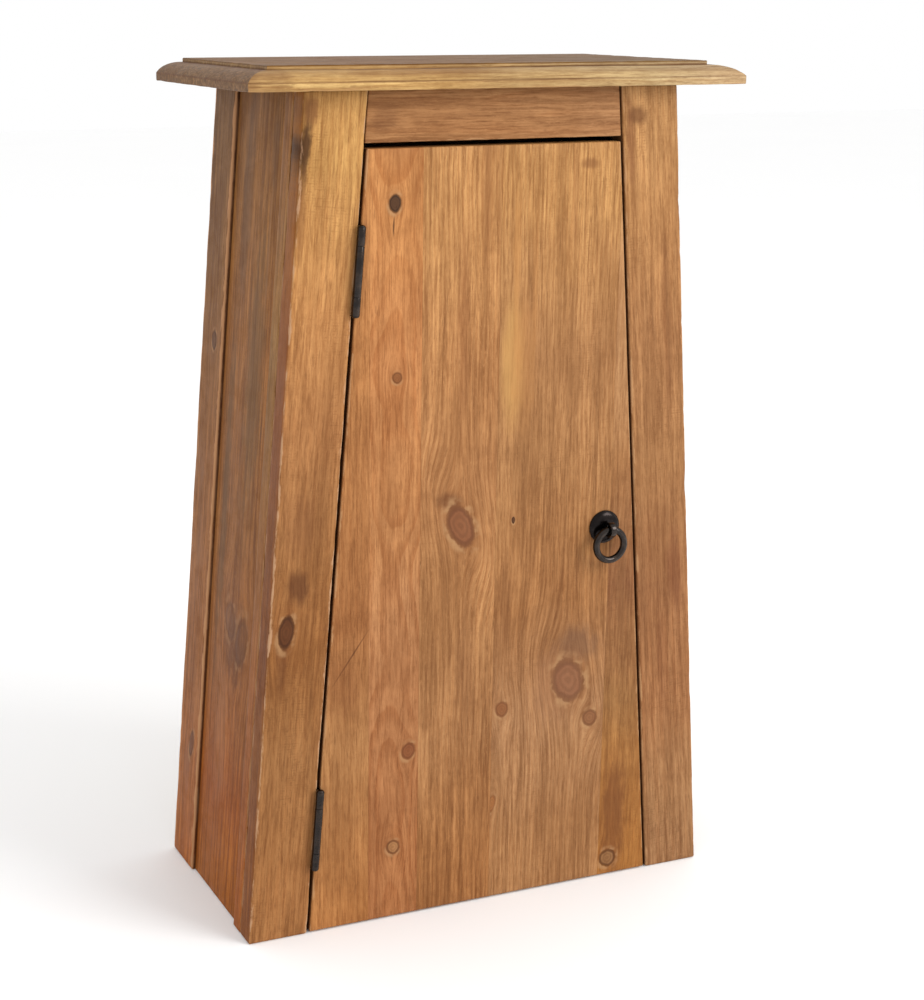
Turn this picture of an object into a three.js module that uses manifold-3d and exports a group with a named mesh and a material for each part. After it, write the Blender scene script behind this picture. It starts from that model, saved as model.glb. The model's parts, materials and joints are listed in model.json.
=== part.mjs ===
// Hanging wall cabinet in reclaimed pine: a tapered carcass under a moulded top board, with one
// inset door on two butt hinges and a ring pull. Millimetres, +Z up, +X to the right and -Y to the
// front. The origin lies on the wall plane, at the middle of the hanging rail's rear face.
import * as THREE from 'three';
import { mergeVertices } from 'three/addons/utils/BufferGeometryUtils.js';
import Module from 'manifold-3d';

const wasm = await Module();
wasm.setup();

// ---- driving dimensions, mm -------------------------------------------------------------------
const overall_height = 660;
const bottom_width = 402;
const shoulder_width = 301; // body width right under the top board
const body_depth = 191;

const top_thickness = 17;
const top_width = 398;
const top_front_overhang = 19;
const moulding_width = 21.5;
const moulding_edge_height = 6; // plain edge under the curve
const moulding_step_height = 3; // small step between the curve and the flat
const moulding_step_shelf = 2; // level strip at the foot of that step

const stile_width = 48;
const stile_thickness = 20.5;
const side_strip_width = 15.7;
const side_frame_thickness = 24;
const rear_post_width = 48.4;
const side_panel_thickness = 12;
const side_panel_recess = 3.2;
const tongue_thickness = 5;
const tongue_length = 7.5;
const groove_depth = 8;

const front_rail_height = 37.5;
const front_rail_thickness = 20;
const front_rail_setback = 1.8;
const front_rail_end_gap = 0.9;
const rail_tenon_length = 10;
const rail_tenon_shoulder = 6;

const rear_rail_thickness = 18;
const hanging_rail_height = 60;
const lower_rail_height = 40;
const back_panel_thickness = 5;

const base_thickness = 16;
const shelf_thickness = 16;
const shelf_heights = [208, 416]; // undersides, above the bottom of the cabinet
const cleat_height = 18;
const cleat_inner_inset = 36; // from the body's outer face to the cleat's inner face

const door_thickness = 19;
const door_gap = 2.4;
const door_top_gap = 3.8;
const door_bottom_clearance = 1;
const door_joints = [-101, -59, 5, 106]; // glue lines between the door's boards, from the middle
const glue_line = 0.1;

const hinge_length = 63.5;
const hinge_inset = 54.5; // from the door's end to the hinge
const hinge_end_knuckle = 13.5;
const knuckle_radius = 3.2;
const knuckle_standoff = 3.5; // pin axis in front of the face
const leaf_thickness = 1.2;
const leaf_depth = 20;
const leaf_half_gap = 0.35;
const hinge_pin_radius = 1.6;
const pin_clearance = 0.06;
const knuckle_gap = 0.3;
const hinge_screw_spacing = 40;
const hinge_screw_depth = 12; // from the leaf's front edge to the screws

const screw_head_radius = 3.1;
const screw_shank_radius = 1.6;
const screw_head_height = 1.5;
const screw_length = 14;

const pull_from_middle = 100.6;
const pull_height = 302.5;
const rose_radius = 13.2;
const rose_height = 4.2;
const rose_rim = 1.2;
const stem_radius = 3;
const eye_distance = 10.6; // from the door's face to the eye's hole
const eye_radius = 6;
const eye_hole_radius = 3.6;
const eye_width = 4.6;
const ring_radius = 12.3; // to the middle of the wire
const ring_wire_radius = 2.8;
const pull_shank_radius = 2.4;
const nut_radius = 4.6;
const nut_height = 4;
const washer_radius = 6.5;
const washer_thickness = 1.2;

const catch_width = 44;
const catch_depth = 13;
const catch_height = 12;
const catch_from_middle = 62;
const catch_gap = 0.4;
const strike_width = 38;
const strike_height = 12;
const strike_thickness = 1.5;

const hanger_spacing = 180; // between the two keyholes
const hanger_width = 20;
const hanger_height = 44;
const hanger_thickness = 1.5;
const keyhole_entry_radius = 5.2;
const keyhole_slot_radius = 2.7;
const keyhole_rise = 10; // from the entry's middle to the slot's end
const keyhole_pocket_depth = 10;
const hanger_screw_spacing = 34;

const wood_clearance = 0.3; // between wooden pieces that meet
const metal_clearance = 0.3; // round let-in metal
const seat_gap = 0.1; // under metal that sits on wood
const bore_clearance = 0.15; // round a shank
const overshoot = 1; // how far a cutter runs past the face that it opens
const long_overshoot = 5; // the same, where the face leans or the cutter is slow to clear

const screw_point_length = 1.5;
const screw_taper_length = 4; // from the full shank to the tip, point included
const screw_tip_radius = 0.5; // as a part of the shank's
const pin_head_ease = 0.2; // the pin's head is this much smaller than the knuckle
const pin_dome = [[1, 0], [0.92, 0.7], [0.7, 1.25], [0.38, 1.6], [0, 1.7]]; // radius part, rise
const stud_tail = 2; // thread that stands past the nut
const nut_sides = 6;
const moulding_first_angle = Math.PI / 9; // where on its ellipse the curve starts
const weld_distance = 1e-4;

// ---- what follows from them -------------------------------------------------------------------
const body_height = overall_height - top_thickness;
const half_bottom = bottom_width / 2;
const slope = (half_bottom - shoulder_width / 2) / body_height;
const lean_angle = Math.atan(slope);
const front_face = -body_depth;
const stile_back = front_face + stile_thickness;
const strip_front = stile_back + wood_clearance;
const strip_back = strip_front + side_strip_width;
const rear_post_front = -rear_post_width;
const rail_bottom = body_height - front_rail_height;
const door_top = rail_bottom - door_top_gap;
const door_back = front_face + door_thickness;
const hanging_rail_bottom = body_height - hanging_rail_height;
const hang_height = body_height - hanging_rail_height / 2;
const tongue_middle_y = -rear_rail_thickness / 2;
const panel_tongue_inset = side_panel_recess + side_panel_thickness / 2;
const shelf_front = Math.max(stile_back, door_back) + wood_clearance;

const outerHalfAt = (z) => half_bottom - slope * z;
const doorEdgeAt = (z) => outerHalfAt(z) - stile_width - door_gap;

// ---- finishes ---------------------------------------------------------------------------------
const finish = (color, roughness, metalness) =>
  new THREE.MeshStandardMaterial({ color, roughness, metalness });
const honey_pine = finish(0xbd8a50, 0.55, 0);
const brown_pine = finish(0x8f6740, 0.6, 0);
const golden_pine = finish(0xc69a55, 0.5, 0);
const door_pine = finish(0xbe8149, 0.55, 0);
const raw_pine = finish(0xa88458, 0.7, 0);
const dark_bronze = finish(0x3a2d25, 0.4, 0.9);
const zinc_steel = finish(0x8d8f92, 0.4, 0.9);
const black_plastic = finish(0x1d1b1a, 0.5, 0);

// ---- building blocks --------------------------------------------------------------------------
const ROUND = 24; // sides on a round piece
const SMALL_ROUND = 12; // sides on a screw
const ROSE_ROUND = 32; // sides on the rose
const RING_ROUND = 36; // steps round the ring
const DOME_STEPS = 6;
const MOULDING_STEPS = 10;
const FULL_TURN = 2 * Math.PI;
const along_x = new THREE.Matrix4().makeBasis(
  new THREE.Vector3(0, 1, 0),
  new THREE.Vector3(0, 0, 1),
  new THREE.Vector3(1, 0, 0),
);
const along_front = new THREE.Matrix4().makeBasis(
  new THREE.Vector3(1, 0, 0),
  new THREE.Vector3(0, 0, 1),
  new THREE.Vector3(0, -1, 0),
);

function polygon(points) {
  return new THREE.Shape(points.map(([a, b]) => new THREE.Vector2(a, b)));
}

// A plan outline (x, y) drawn at the bottom of the cabinet and raised from z = low to z = high.
function raised(points, low, high) {
  const settings = { depth: high - low, bevelEnabled: false };
  return new THREE.ExtrudeGeometry(polygon(points), settings).translate(0, 0, low);
}

// A front outline (x, z) given a thickness from y = front back to y = front + thickness.
function fronted(shape, front, thickness) {
  const settings = { depth: thickness, bevelEnabled: false, curveSegments: ROUND / 2 };
  const geometry = new THREE.ExtrudeGeometry(shape, settings).applyMatrix4(along_front);
  return geometry.translate(0, front + thickness, 0);
}

// A side outline (y, z) run along X from -half to +half.
function runAlongX(points, half) {
  const settings = { depth: 2 * half, bevelEnabled: false };
  const geometry = new THREE.ExtrudeGeometry(polygon(points), settings).applyMatrix4(along_x);
  return geometry.translate(-half, 0, 0);
}

// Both sides of the body lean inwards, so each point moves towards the middle as it rises.
function lean(geometry) {
  const place = geometry.attributes.position;
  for (let i = 0; i < place.count; i += 1) {
    const x = place.getX(i);
    place.setX(i, x - Math.sign(x) * slope * place.getZ(i));
  }
  geometry.computeVertexNormals();
  return geometry;
}

function rectangle(x0, x1, y0, y1) {
  return [[x0, y0], [x1, y0], [x1, y1], [x0, y1]];
}

function box(x0, x1, y0, y1, z0, z1) {
  const geometry = new THREE.BoxGeometry(x1 - x0, y1 - y0, z1 - z0);
  return geometry.translate((x0 + x1) / 2, (y0 + y1) / 2, (z0 + z1) / 2);
}

// Round stock between two points on a line along X or Y, from start to start + length.
function roundBar(axis, radius, start, length, end_radius = radius) {
  const geometry = new THREE.CylinderGeometry(end_radius, radius, length, ROUND);
  geometry.translate(0, start + length / 2, 0);
  if (axis === 'x') geometry.rotateZ(-Math.PI / 2);
  if (axis === 'z') geometry.rotateX(Math.PI / 2);
  return geometry;
}

// A turned piece whose axis points to the front; profile points are (radius, distance forwards).
function turned(profile, segments = ROUND) {
  const points = profile.map(([r, y]) => new THREE.Vector2(r, y));
  return new THREE.LatheGeometry(points, segments).rotateX(Math.PI);
}

function toSolid(geometry) {
  const bare = geometry.clone();
  bare.deleteAttribute('normal');
  bare.deleteAttribute('uv');
  const merged = mergeVertices(bare, weld_distance);
  return new wasm.Manifold(new wasm.Mesh({
    numProp: 3,
    vertProperties: Float32Array.from(merged.attributes.position.array),
    triVerts: Uint32Array.from(merged.index.array),
  }));
}

function toGeometry(solid) {
  const mesh = solid.getMesh();
  const geometry = new THREE.BufferGeometry();
  geometry.setAttribute('position', new THREE.BufferAttribute(mesh.vertProperties, 3));
  geometry.setIndex(new THREE.BufferAttribute(mesh.triVerts, 1));
  geometry.computeVertexNormals();
  return geometry;
}

function cut(geometry, ...tools) {
  return toGeometry(tools.reduce((left, tool) => left.subtract(toSolid(tool)), toSolid(geometry)));
}

function join(geometry, ...others) {
  return toGeometry(others.reduce((sum, other) => sum.add(toSolid(other)), toSolid(geometry)));
}

function node(name, geometry, material) {
  const mesh = new THREE.Mesh(geometry, material);
  mesh.name = name;
  return mesh;
}

const sides = [['left', -1], ['right', 1]];
const mirrored = (points, side) => points.map(([x, y]) => [x * side, y]);

// ---- hinges -----------------------------------------------------------------------------------
// Each hinge is drawn upright round its pin axis, then turned to lie along the leaning door gap.
const hinge_heights = [
  ['lower', door_bottom_clearance + hinge_inset + hinge_length / 2],
  ['upper', door_top - hinge_inset - hinge_length / 2],
];

function hingePlace(height) {
  const x = -(outerHalfAt(height) - stile_width - door_gap / 2);
  const turn = new THREE.Matrix4().makeRotationY(lean_angle);
  return turn.setPosition(x, front_face - knuckle_standoff, height);
}

const leaf_back = knuckle_standoff + leaf_depth;
const leaf_outer = leaf_half_gap + leaf_thickness;
const screw_y = knuckle_standoff + hinge_screw_depth;
const leaf_sides = [['frame', -1], ['door', 1]];

// The shallow mortise for one leaf, and the pilot holes of its screws.
function leafCutters(height, side) {
  const reach = leaf_outer + metal_clearance;
  const half = hinge_length / 2 + metal_clearance;
  const xs = [0, side * reach].sort((a, b) => a - b);
  const back = leaf_back + metal_clearance;
  const mortise = box(xs[0], xs[1], knuckle_standoff - overshoot, back, -half, half);
  const bores = [-1, 1].map((end) => {
    const length = screw_length + metal_clearance;
    const bore = roundBar('x', screw_shank_radius + bore_clearance, 0, length);
    if (side < 0) bore.rotateZ(Math.PI);
    return bore.translate(0, screw_y, end * hinge_screw_spacing / 2);
  });
  return [mortise, ...bores].map((tool) => tool.applyMatrix4(hingePlace(height)));
}

const hingeCutters = (side) => hinge_heights.flatMap(([, height]) => leafCutters(height, side));

// A knuckle is the leaf's sheet rolled round the pin, drawn in plan and raised to its length.
function rolledKnuckle(side, low, high) {
  const [near, far] = [leaf_half_gap, leaf_outer].map((x) => side * x);
  const angleAt = (x) => Math.atan2(Math.sqrt(knuckle_radius ** 2 - x ** 2), x);
  const plate_front = knuckle_radius + metal_clearance;
  const shape = new THREE.Shape();
  shape.moveTo(far, plate_front + overshoot);
  shape.absarc(0, 0, knuckle_radius, angleAt(far), angleAt(near), side > 0);
  shape.lineTo(near, plate_front + overshoot);
  shape.closePath();
  const bore = new THREE.Path();
  bore.absarc(0, 0, hinge_pin_radius + pin_clearance, 0, FULL_TURN, false);
  shape.holes.push(bore);
  const settings = { depth: high - low, bevelEnabled: false, curveSegments: ROUND };
  return new THREE.ExtrudeGeometry(shape, settings).translate(0, 0, low);
}

function leafGeometry(side) {
  const half = hinge_length / 2;
  const split = half - hinge_end_knuckle;
  const spans = side < 0
    ? [[-half, -split - knuckle_gap], [split + knuckle_gap, half]]
    : [[-split, split]];
  const xs = [side * leaf_half_gap, side * leaf_outer].sort((a, b) => a - b);
  const plate = box(xs[0], xs[1], knuckle_radius + metal_clearance, leaf_back, -half, half);
  const knuckles = spans.map(([low, high]) => rolledKnuckle(side, low, high));
  const tail = screw_shank_radius + bore_clearance;
  const holes = [-1, 1].flatMap((end) => {
    const wide = screw_head_radius + bore_clearance + leaf_half_gap;
    const head = roundBar('x', wide, 0, screw_head_height + leaf_half_gap, tail);
    const start = leaf_half_gap - overshoot;
    const through = roundBar('x', tail, start, leaf_thickness + 2 * overshoot);
    return [head, through].map((tool) => {
      if (side < 0) tool.rotateZ(Math.PI);
      return tool.translate(0, screw_y, end * hinge_screw_spacing / 2);
    });
  });
  return cut(join(plate, ...knuckles), ...holes);
}

// A pin with a low domed head at each end.
function pinGeometry() {
  const half = hinge_length / 2;
  const head = knuckle_radius - pin_head_ease;
  const dome = pin_dome.map(([part, rise]) => [head * part, rise]);
  const top = dome.map(([r, h]) => new THREE.Vector2(r, half + seat_gap + h));
  const bottom = dome.map(([r, h]) => new THREE.Vector2(r, -half - seat_gap - h)).reverse();
  const core = [half + seat_gap, -half - seat_gap].map((z) => new THREE.Vector2(hinge_pin_radius, z));
  const profile = [...bottom, core[1], core[0], ...top];
  return new THREE.LatheGeometry(profile, ROUND).rotateX(Math.PI / 2);
}

// A countersunk wood screw pointing along +Y, its head's face at 0.
function screwGeometry(length) {
  const tip = screw_shank_radius * screw_tip_radius;
  const profile = [
    [0, 0], [screw_head_radius, 0], [screw_shank_radius, screw_head_height],
    [screw_shank_radius, length - screw_taper_length], [tip, length - screw_point_length],
    [0, length],
  ];
  return new THREE.LatheGeometry(profile.map(([r, y]) => new THREE.Vector2(r, y)), SMALL_ROUND);
}

function makeHinge(label, height) {
  const hinge = new THREE.Group();
  hinge.applyMatrix4(hingePlace(height));
  for (const [leaf, side] of leaf_sides) {
    hinge.add(node(`${label}_hinge_${leaf}_leaf`, leafGeometry(side), dark_bronze));
    for (const [place, end] of [['bottom', -1], ['top', 1]]) {
      const screw = screwGeometry(screw_length).rotateZ(side * -Math.PI / 2);
      const x = side * (leaf_half_gap + seat_gap);
      screw.translate(x, screw_y, end * hinge_screw_spacing / 2);
      hinge.add(node(`${label}_hinge_${leaf}_screw_${place}`, screw, dark_bronze));
    }
  }
  hinge.add(node(`${label}_hinge_pin`, pinGeometry(), dark_bronze));
  return hinge;
}

// ---- carcass ----------------------------------------------------------------------------------
function tongueGroove(middle, start, end) {
  const half = tongue_thickness / 2 + bore_clearance;
  return { low: middle - half, high: middle + half, start, end };
}

function makeStile(label, side) {
  const inner = half_bottom - stile_width;
  const outline = mirrored(rectangle(inner, half_bottom, front_face, stile_back), side);
  const tenon_y = front_face + front_rail_setback + front_rail_thickness / 2;
  const half = tongue_thickness / 2 + wood_clearance;
  const depth = rail_tenon_length + wood_clearance;
  const mortise = mirrored(
    rectangle(inner - long_overshoot, inner + depth, tenon_y - half, tenon_y + half), side,
  );
  const mortise_low = rail_bottom + rail_tenon_shoulder - wood_clearance;
  const cutters = [lean(raised(mortise, mortise_low, body_height + long_overshoot))];
  if (side < 0) cutters.push(...hingeCutters(-1));
  const stile = cut(lean(raised(outline, 0, body_height - wood_clearance)), ...cutters);
  return node(`${label}_front_stile`, stile, honey_pine);
}

function makeSideStrip(label, side) {
  const groove = tongueGroove(half_bottom - panel_tongue_inset, strip_back - groove_depth, strip_back);
  const inner = half_bottom - side_frame_thickness;
  const outline = [
    [inner, strip_front], [half_bottom, strip_front], [half_bottom, groove.end],
    [groove.high, groove.end], [groove.high, groove.start],
    [groove.low, groove.start], [groove.low, groove.end], [inner, groove.end],
  ];
  const strip = lean(raised(mirrored(outline, side), 0, body_height - wood_clearance));
  return node(`${label}_side_strip`, strip, brown_pine);
}

function makeSidePanel(label, side) {
  const outer = half_bottom - side_panel_recess;
  const inner = outer - side_panel_thickness;
  const middle = half_bottom - panel_tongue_inset;
  const tongue = tongue_thickness / 2;
  const front = strip_back + wood_clearance;
  const back = rear_post_front - wood_clearance;
  const outline = [
    [inner, front], [middle - tongue, front], [middle - tongue, front - tongue_length],
    [middle + tongue, front - tongue_length], [middle + tongue, front], [outer, front],
    [outer, back], [middle + tongue, back], [middle + tongue, back + tongue_length],
    [middle - tongue, back + tongue_length], [middle - tongue, back], [inner, back],
  ];
  const panel = lean(raised(mirrored(outline, side), 0, body_height - wood_clearance));
  return node(`${label}_side_panel`, panel, brown_pine);
}

function makeRearPost(label, side) {
  const inner = half_bottom - side_frame_thickness;
  const front_start = rear_post_front;
  const groove = tongueGroove(half_bottom - panel_tongue_inset, front_start, front_start + groove_depth);
  const back = tongueGroove(tongue_middle_y, inner, inner + groove_depth);
  const outline = [
    [inner, 0], [inner, back.high], [back.end, back.high], [back.end, back.low], [inner, back.low],
    [inner, groove.start], [groove.low, groove.start], [groove.low, groove.end],
    [groove.high, groove.end], [groove.high, groove.start], [half_bottom, groove.start],
    [half_bottom, 0],
  ];
  const post = lean(raised(mirrored(outline, side), 0, body_height - wood_clearance));
  return node(`${label}_rear_post`, post, brown_pine);
}

function makeFrontRail() {
  const half = half_bottom - stile_width - front_rail_end_gap;
  const front = front_face + front_rail_setback;
  const middle = front + front_rail_thickness / 2;
  const tenon = tongue_thickness / 2;
  const reach = half_bottom - stile_width + rail_tenon_length;
  const high = body_height - wood_clearance;
  const body = rectangle(-half, half, front, front + front_rail_thickness);
  const bar = rectangle(-reach, reach, middle - tenon, middle + tenon);
  const rail = join(
    lean(raised(body, rail_bottom, high)),
    lean(raised(bar, rail_bottom + rail_tenon_shoulder, high)),
  );
  return node('front_top_rail', rail, brown_pine);
}

// A rear rail ends in stub tongues that share the back panel's grooves in the rear posts.
function rearRailBody(low, high) {
  const half = half_bottom - side_frame_thickness - wood_clearance;
  const reach = half_bottom - side_frame_thickness + tongue_length;
  const tongue = tongue_thickness / 2;
  const body = rectangle(-half, half, -rear_rail_thickness, 0);
  const bar = rectangle(-reach, reach, tongue_middle_y - tongue, tongue_middle_y + tongue);
  return join(lean(raised(body, low, high)), lean(raised(bar, low, high)));
}

function backGroove(low, high) {
  const half = back_panel_thickness / 2 + bore_clearance;
  return box(-half_bottom, half_bottom, tongue_middle_y - half, tongue_middle_y + half, low, high);
}

const hanger_places = sides.map(([label, side]) => [label, side * hanger_spacing / 2]);

function keyholeShape(entry_radius, slot_radius) {
  const meet = Math.asin(slot_radius / entry_radius);
  const shape = new THREE.Path();
  shape.absarc(0, 0, entry_radius, Math.PI / 2 + meet, Math.PI / 2 - meet + FULL_TURN, false);
  shape.absarc(0, keyhole_rise, slot_radius, 0, Math.PI, false);
  shape.closePath();
  return shape;
}

function makeHangingRail() {
  const low_groove = hanging_rail_bottom - overshoot;
  const cutters = [backGroove(low_groove, hanging_rail_bottom + groove_depth)];
  for (const [, x] of hanger_places) {
    const half_width = hanger_width / 2 + metal_clearance;
    const half_height = hanger_height / 2 + metal_clearance;
    const low = hang_height - half_height;
    const high = hang_height + half_height;
    const depth = hanger_thickness + seat_gap;
    cutters.push(box(x - half_width, x + half_width, -depth, overshoot, low, high));
    const pocket = keyhole_entry_radius + overshoot;
    const floor = hang_height - pocket;
    const roof = hang_height + keyhole_rise + keyhole_entry_radius;
    cutters.push(box(x - pocket, x + pocket, -keyhole_pocket_depth, overshoot, floor, roof));
    for (const end of [-1, 1]) {
      const start = -screw_length - overshoot;
      const bore = roundBar('y', screw_shank_radius + bore_clearance, start, screw_length);
      cutters.push(bore.translate(x, 0, hang_height + end * hanger_screw_spacing / 2));
    }
  }
  const rail = cut(rearRailBody(hanging_rail_bottom, body_height - wood_clearance), ...cutters);
  return node('hanging_rail', rail, raw_pine);
}

function makeHanger(label, x) {
  const plate_shape = polygon(rectangle(
    -hanger_width / 2, hanger_width / 2, -hanger_height / 2, hanger_height / 2,
  ));
  plate_shape.holes.push(keyholeShape(keyhole_entry_radius, keyhole_slot_radius));
  let plate = fronted(plate_shape, -hanger_thickness, hanger_thickness);
  for (const end of [-1, 1]) {
    const head = roundBar(
      'y', screw_shank_radius + bore_clearance, -screw_head_height, screw_head_height,
      screw_head_radius + bore_clearance,
    );
    const reach = long_overshoot;
    const through = roundBar('y', screw_shank_radius + bore_clearance, -reach, 2 * reach);
    for (const tool of [head, through]) {
      plate = cut(plate, tool.translate(0, 0, end * hanger_screw_spacing / 2));
    }
  }
  const hanger = new THREE.Group();
  hanger.position.set(x, 0, hang_height);
  hanger.add(node(`${label}_hanger_plate`, plate, zinc_steel));
  for (const [place, end] of [['bottom', -1], ['top', 1]]) {
    const screw = screwGeometry(screw_length).rotateX(Math.PI);
    screw.translate(0, -seat_gap, end * hanger_screw_spacing / 2);
    hanger.add(node(`${label}_hanger_screw_${place}`, screw, zinc_steel));
  }
  return hanger;
}

function makeLowerRail() {
  const low = base_thickness + wood_clearance;
  const high = low + lower_rail_height;
  const groove = backGroove(high - groove_depth, high + overshoot);
  return node('lower_rear_rail', cut(rearRailBody(low, high), groove), raw_pine);
}

function makeBackPanel() {
  const reach = half_bottom - side_frame_thickness + tongue_length;
  const half = back_panel_thickness / 2;
  const low = base_thickness + wood_clearance + lower_rail_height - tongue_length;
  const high = hanging_rail_bottom + tongue_length;
  const outline = rectangle(-reach, reach, tongue_middle_y - half, tongue_middle_y + half);
  return node('back_panel', lean(raised(outline, low, high)), raw_pine);
}

// A floor board reaches the side panels and is notched round the side strips and the rear posts.
function floorOutline(back) {
  const narrow = half_bottom - side_frame_thickness - wood_clearance;
  const wide = half_bottom - side_panel_recess - side_panel_thickness - wood_clearance;
  const front_notch = strip_back + wood_clearance;
  const back_notch = rear_post_front - wood_clearance;
  const right = [
    [narrow, shelf_front], [narrow, front_notch], [wide, front_notch],
    [wide, back_notch], [narrow, back_notch], [narrow, back],
  ];
  return [...right, ...mirrored(right, -1).reverse()];
}

function makeBase() {
  return node('bottom_board', lean(raised(floorOutline(0), 0, base_thickness)), raw_pine);
}

function makeShelf(label, height) {
  const outline = floorOutline(-rear_rail_thickness - wood_clearance);
  return node(`${label}_shelf`, lean(raised(outline, height, height + shelf_thickness)), raw_pine);
}

function makeCleat(side_label, side, label, height) {
  const outer = half_bottom - side_panel_recess - side_panel_thickness - wood_clearance;
  const inner = half_bottom - cleat_inner_inset;
  const front = strip_back + wood_clearance;
  const back = rear_post_front - wood_clearance;
  const outline = mirrored(rectangle(inner, outer, front, back), side);
  const high = height - wood_clearance;
  const cleat = lean(raised(outline, high - cleat_height, high));
  return node(`${side_label}_${label}_cleat`, cleat, raw_pine);
}

// The moulding runs round the front and both ends: a front-to-back bar and an end-to-end bar of the
// same edge profile, and what they share has mitred corners.
function mouldedEdge() {
  const foot = top_thickness - moulding_step_height;
  const rise = foot - moulding_edge_height;
  const run = moulding_width - moulding_step_shelf;
  const first = moulding_first_angle;
  const profile = [[0, 0]];
  for (let i = 0; i <= MOULDING_STEPS; i += 1) {
    const turn = first + (Math.PI / 2 - first) * (i / MOULDING_STEPS);
    const inward = (Math.cos(first) - Math.cos(turn)) / Math.cos(first);
    const upward = (Math.sin(turn) - Math.sin(first)) / (1 - Math.sin(first));
    profile.push([run * inward, moulding_edge_height + rise * upward]);
  }
  profile.push([moulding_width, foot], [moulding_width, top_thickness]);
  return profile;
}

function makeTopBoard() {
  const edge = mouldedEdge();
  const half = top_width / 2;
  const front = front_face - top_front_overhang;
  const end_profile = [
    ...edge.map(([inward, up]) => [-half + inward, up]),
    ...edge.map(([inward, up]) => [half - inward, up]).reverse(),
  ];
  const front_profile = [
    ...edge.map(([inward, up]) => [front + inward, up]), [0, top_thickness], [0, 0],
  ];
  const start = front - overshoot;
  const end_to_end = toSolid(fronted(polygon(end_profile), start, -start));
  const front_to_back = toSolid(runAlongX(front_profile, half + overshoot));
  const board = toGeometry(end_to_end.intersect(front_to_back));
  return node('top_board', board.translate(0, 0, body_height), golden_pine);
}

// ---- door -------------------------------------------------------------------------------------
// Boards glued side by side, then sawn to the taper, so the outer two are wedges.
function doorBoardOutline(left, right) {
  const corners = [];
  for (const z of [door_bottom_clearance, door_top]) {
    const low_x = Math.max(left, -doorEdgeAt(z));
    const high_x = Math.min(right, doorEdgeAt(z));
    corners.push([low_x, high_x, z]);
  }
  const [bottom, top] = corners;
  const outline = [[bottom[0], bottom[2]], [bottom[1], bottom[2]]];
  const heightWhere = (x) => (half_bottom - stile_width - door_gap - Math.abs(x)) / slope;
  if (top[1] - top[0] > 0) {
    if (doorEdgeAt(door_top) < right && doorEdgeAt(door_bottom_clearance) > right) {
      outline.push([right, heightWhere(right)]);
    }
    outline.push([top[1], top[2]], [top[0], top[2]]);
    if (-doorEdgeAt(door_top) > left && -doorEdgeAt(door_bottom_clearance) < left) {
      outline.push([left, heightWhere(left)]);
    }
  } else {
    const joint = left > 0 ? left : right;
    outline.push([joint, heightWhere(joint)]);
  }
  return outline;
}

const pullPlace = (tool) => tool.translate(pull_from_middle, 0, pull_height);
const strike_height_middle = shelf_heights[1] - catch_height / 2 - wood_clearance;

function makeDoorBoards() {
  const lines = [-half_bottom, ...door_joints, half_bottom];
  const pull_bore = roundBar(
    'y', pull_shank_radius + bore_clearance, front_face - overshoot,
    door_thickness + 2 * overshoot,
  );
  const strike_bore = roundBar(
    'y', screw_shank_radius + bore_clearance, door_back - screw_length, screw_length + overshoot,
  );
  strike_bore.translate(catch_from_middle, 0, strike_height_middle);
  const cutters = [pullPlace(pull_bore), strike_bore, ...hingeCutters(1)];
  return lines.slice(1).map((right_line, i) => {
    const left = lines[i] + (i > 0 ? glue_line / 2 : 0);
    const right = right_line - (i < door_joints.length ? glue_line / 2 : 0);
    const shape = polygon(doorBoardOutline(left, right));
    const board = cut(fronted(shape, front_face, door_thickness), ...cutters);
    return node(`door_board_${i + 1}`, board, door_pine);
  });
}

// ---- ring pull --------------------------------------------------------------------------------
function makeRose() {
  const hole = stem_radius + metal_clearance;
  const profile = [[hole, seat_gap], [rose_radius, seat_gap], [rose_radius, rose_rim]];
  for (let i = 1; i <= DOME_STEPS; i += 1) {
    const r = rose_radius + (hole - rose_radius) * (i / DOME_STEPS);
    const fall = (r - hole) / (rose_radius - hole);
    profile.push([r, rose_rim + (rose_height - rose_rim) * Math.sqrt(1 - fall * fall)]);
  }
  profile.push([hole, seat_gap]);
  return node('pull_rose', turned(profile, ROSE_ROUND), dark_bronze);
}

function makePullStud() {
  const back = -door_thickness - washer_thickness - nut_height - stud_tail;
  const stem = turned([
    [0, back], [pull_shank_radius, back], [pull_shank_radius, seat_gap], [stem_radius, seat_gap],
    [stem_radius, eye_distance], [0, eye_distance],
  ]);
  const half = eye_width / 2;
  const eye = roundBar('x', eye_radius, -half, eye_width).translate(0, -eye_distance, 0);
  const reach = half + overshoot;
  const hole = roundBar('x', eye_hole_radius, -reach, 2 * reach).translate(0, -eye_distance, 0);
  return node('pull_stud', cut(join(stem, eye), hole), dark_bronze);
}

// The ring hangs plumb from the eye, clear of the door.
function makeRing() {
  const wire = new THREE.TorusGeometry(ring_radius, ring_wire_radius, SMALL_ROUND, RING_ROUND);
  wire.rotateX(Math.PI / 2);
  const swing = new THREE.Group();
  swing.position.set(0, -eye_distance, 0);
  swing.add(node('pull_ring', wire.translate(0, 0, -ring_radius), dark_bronze));
  return swing;
}

function flatRing(outer, inner, thickness, corners) {
  const shape = new THREE.Shape();
  for (let i = 0; i < corners; i += 1) {
    const turn = (i * FULL_TURN) / corners;
    const point = [outer * Math.cos(turn), outer * Math.sin(turn)];
    if (i === 0) shape.moveTo(...point);
    else shape.lineTo(...point);
  }
  shape.closePath();
  shape.holes.push(new THREE.Path().absarc(0, 0, inner, 0, FULL_TURN, true));
  return fronted(shape, 0, thickness);
}

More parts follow.
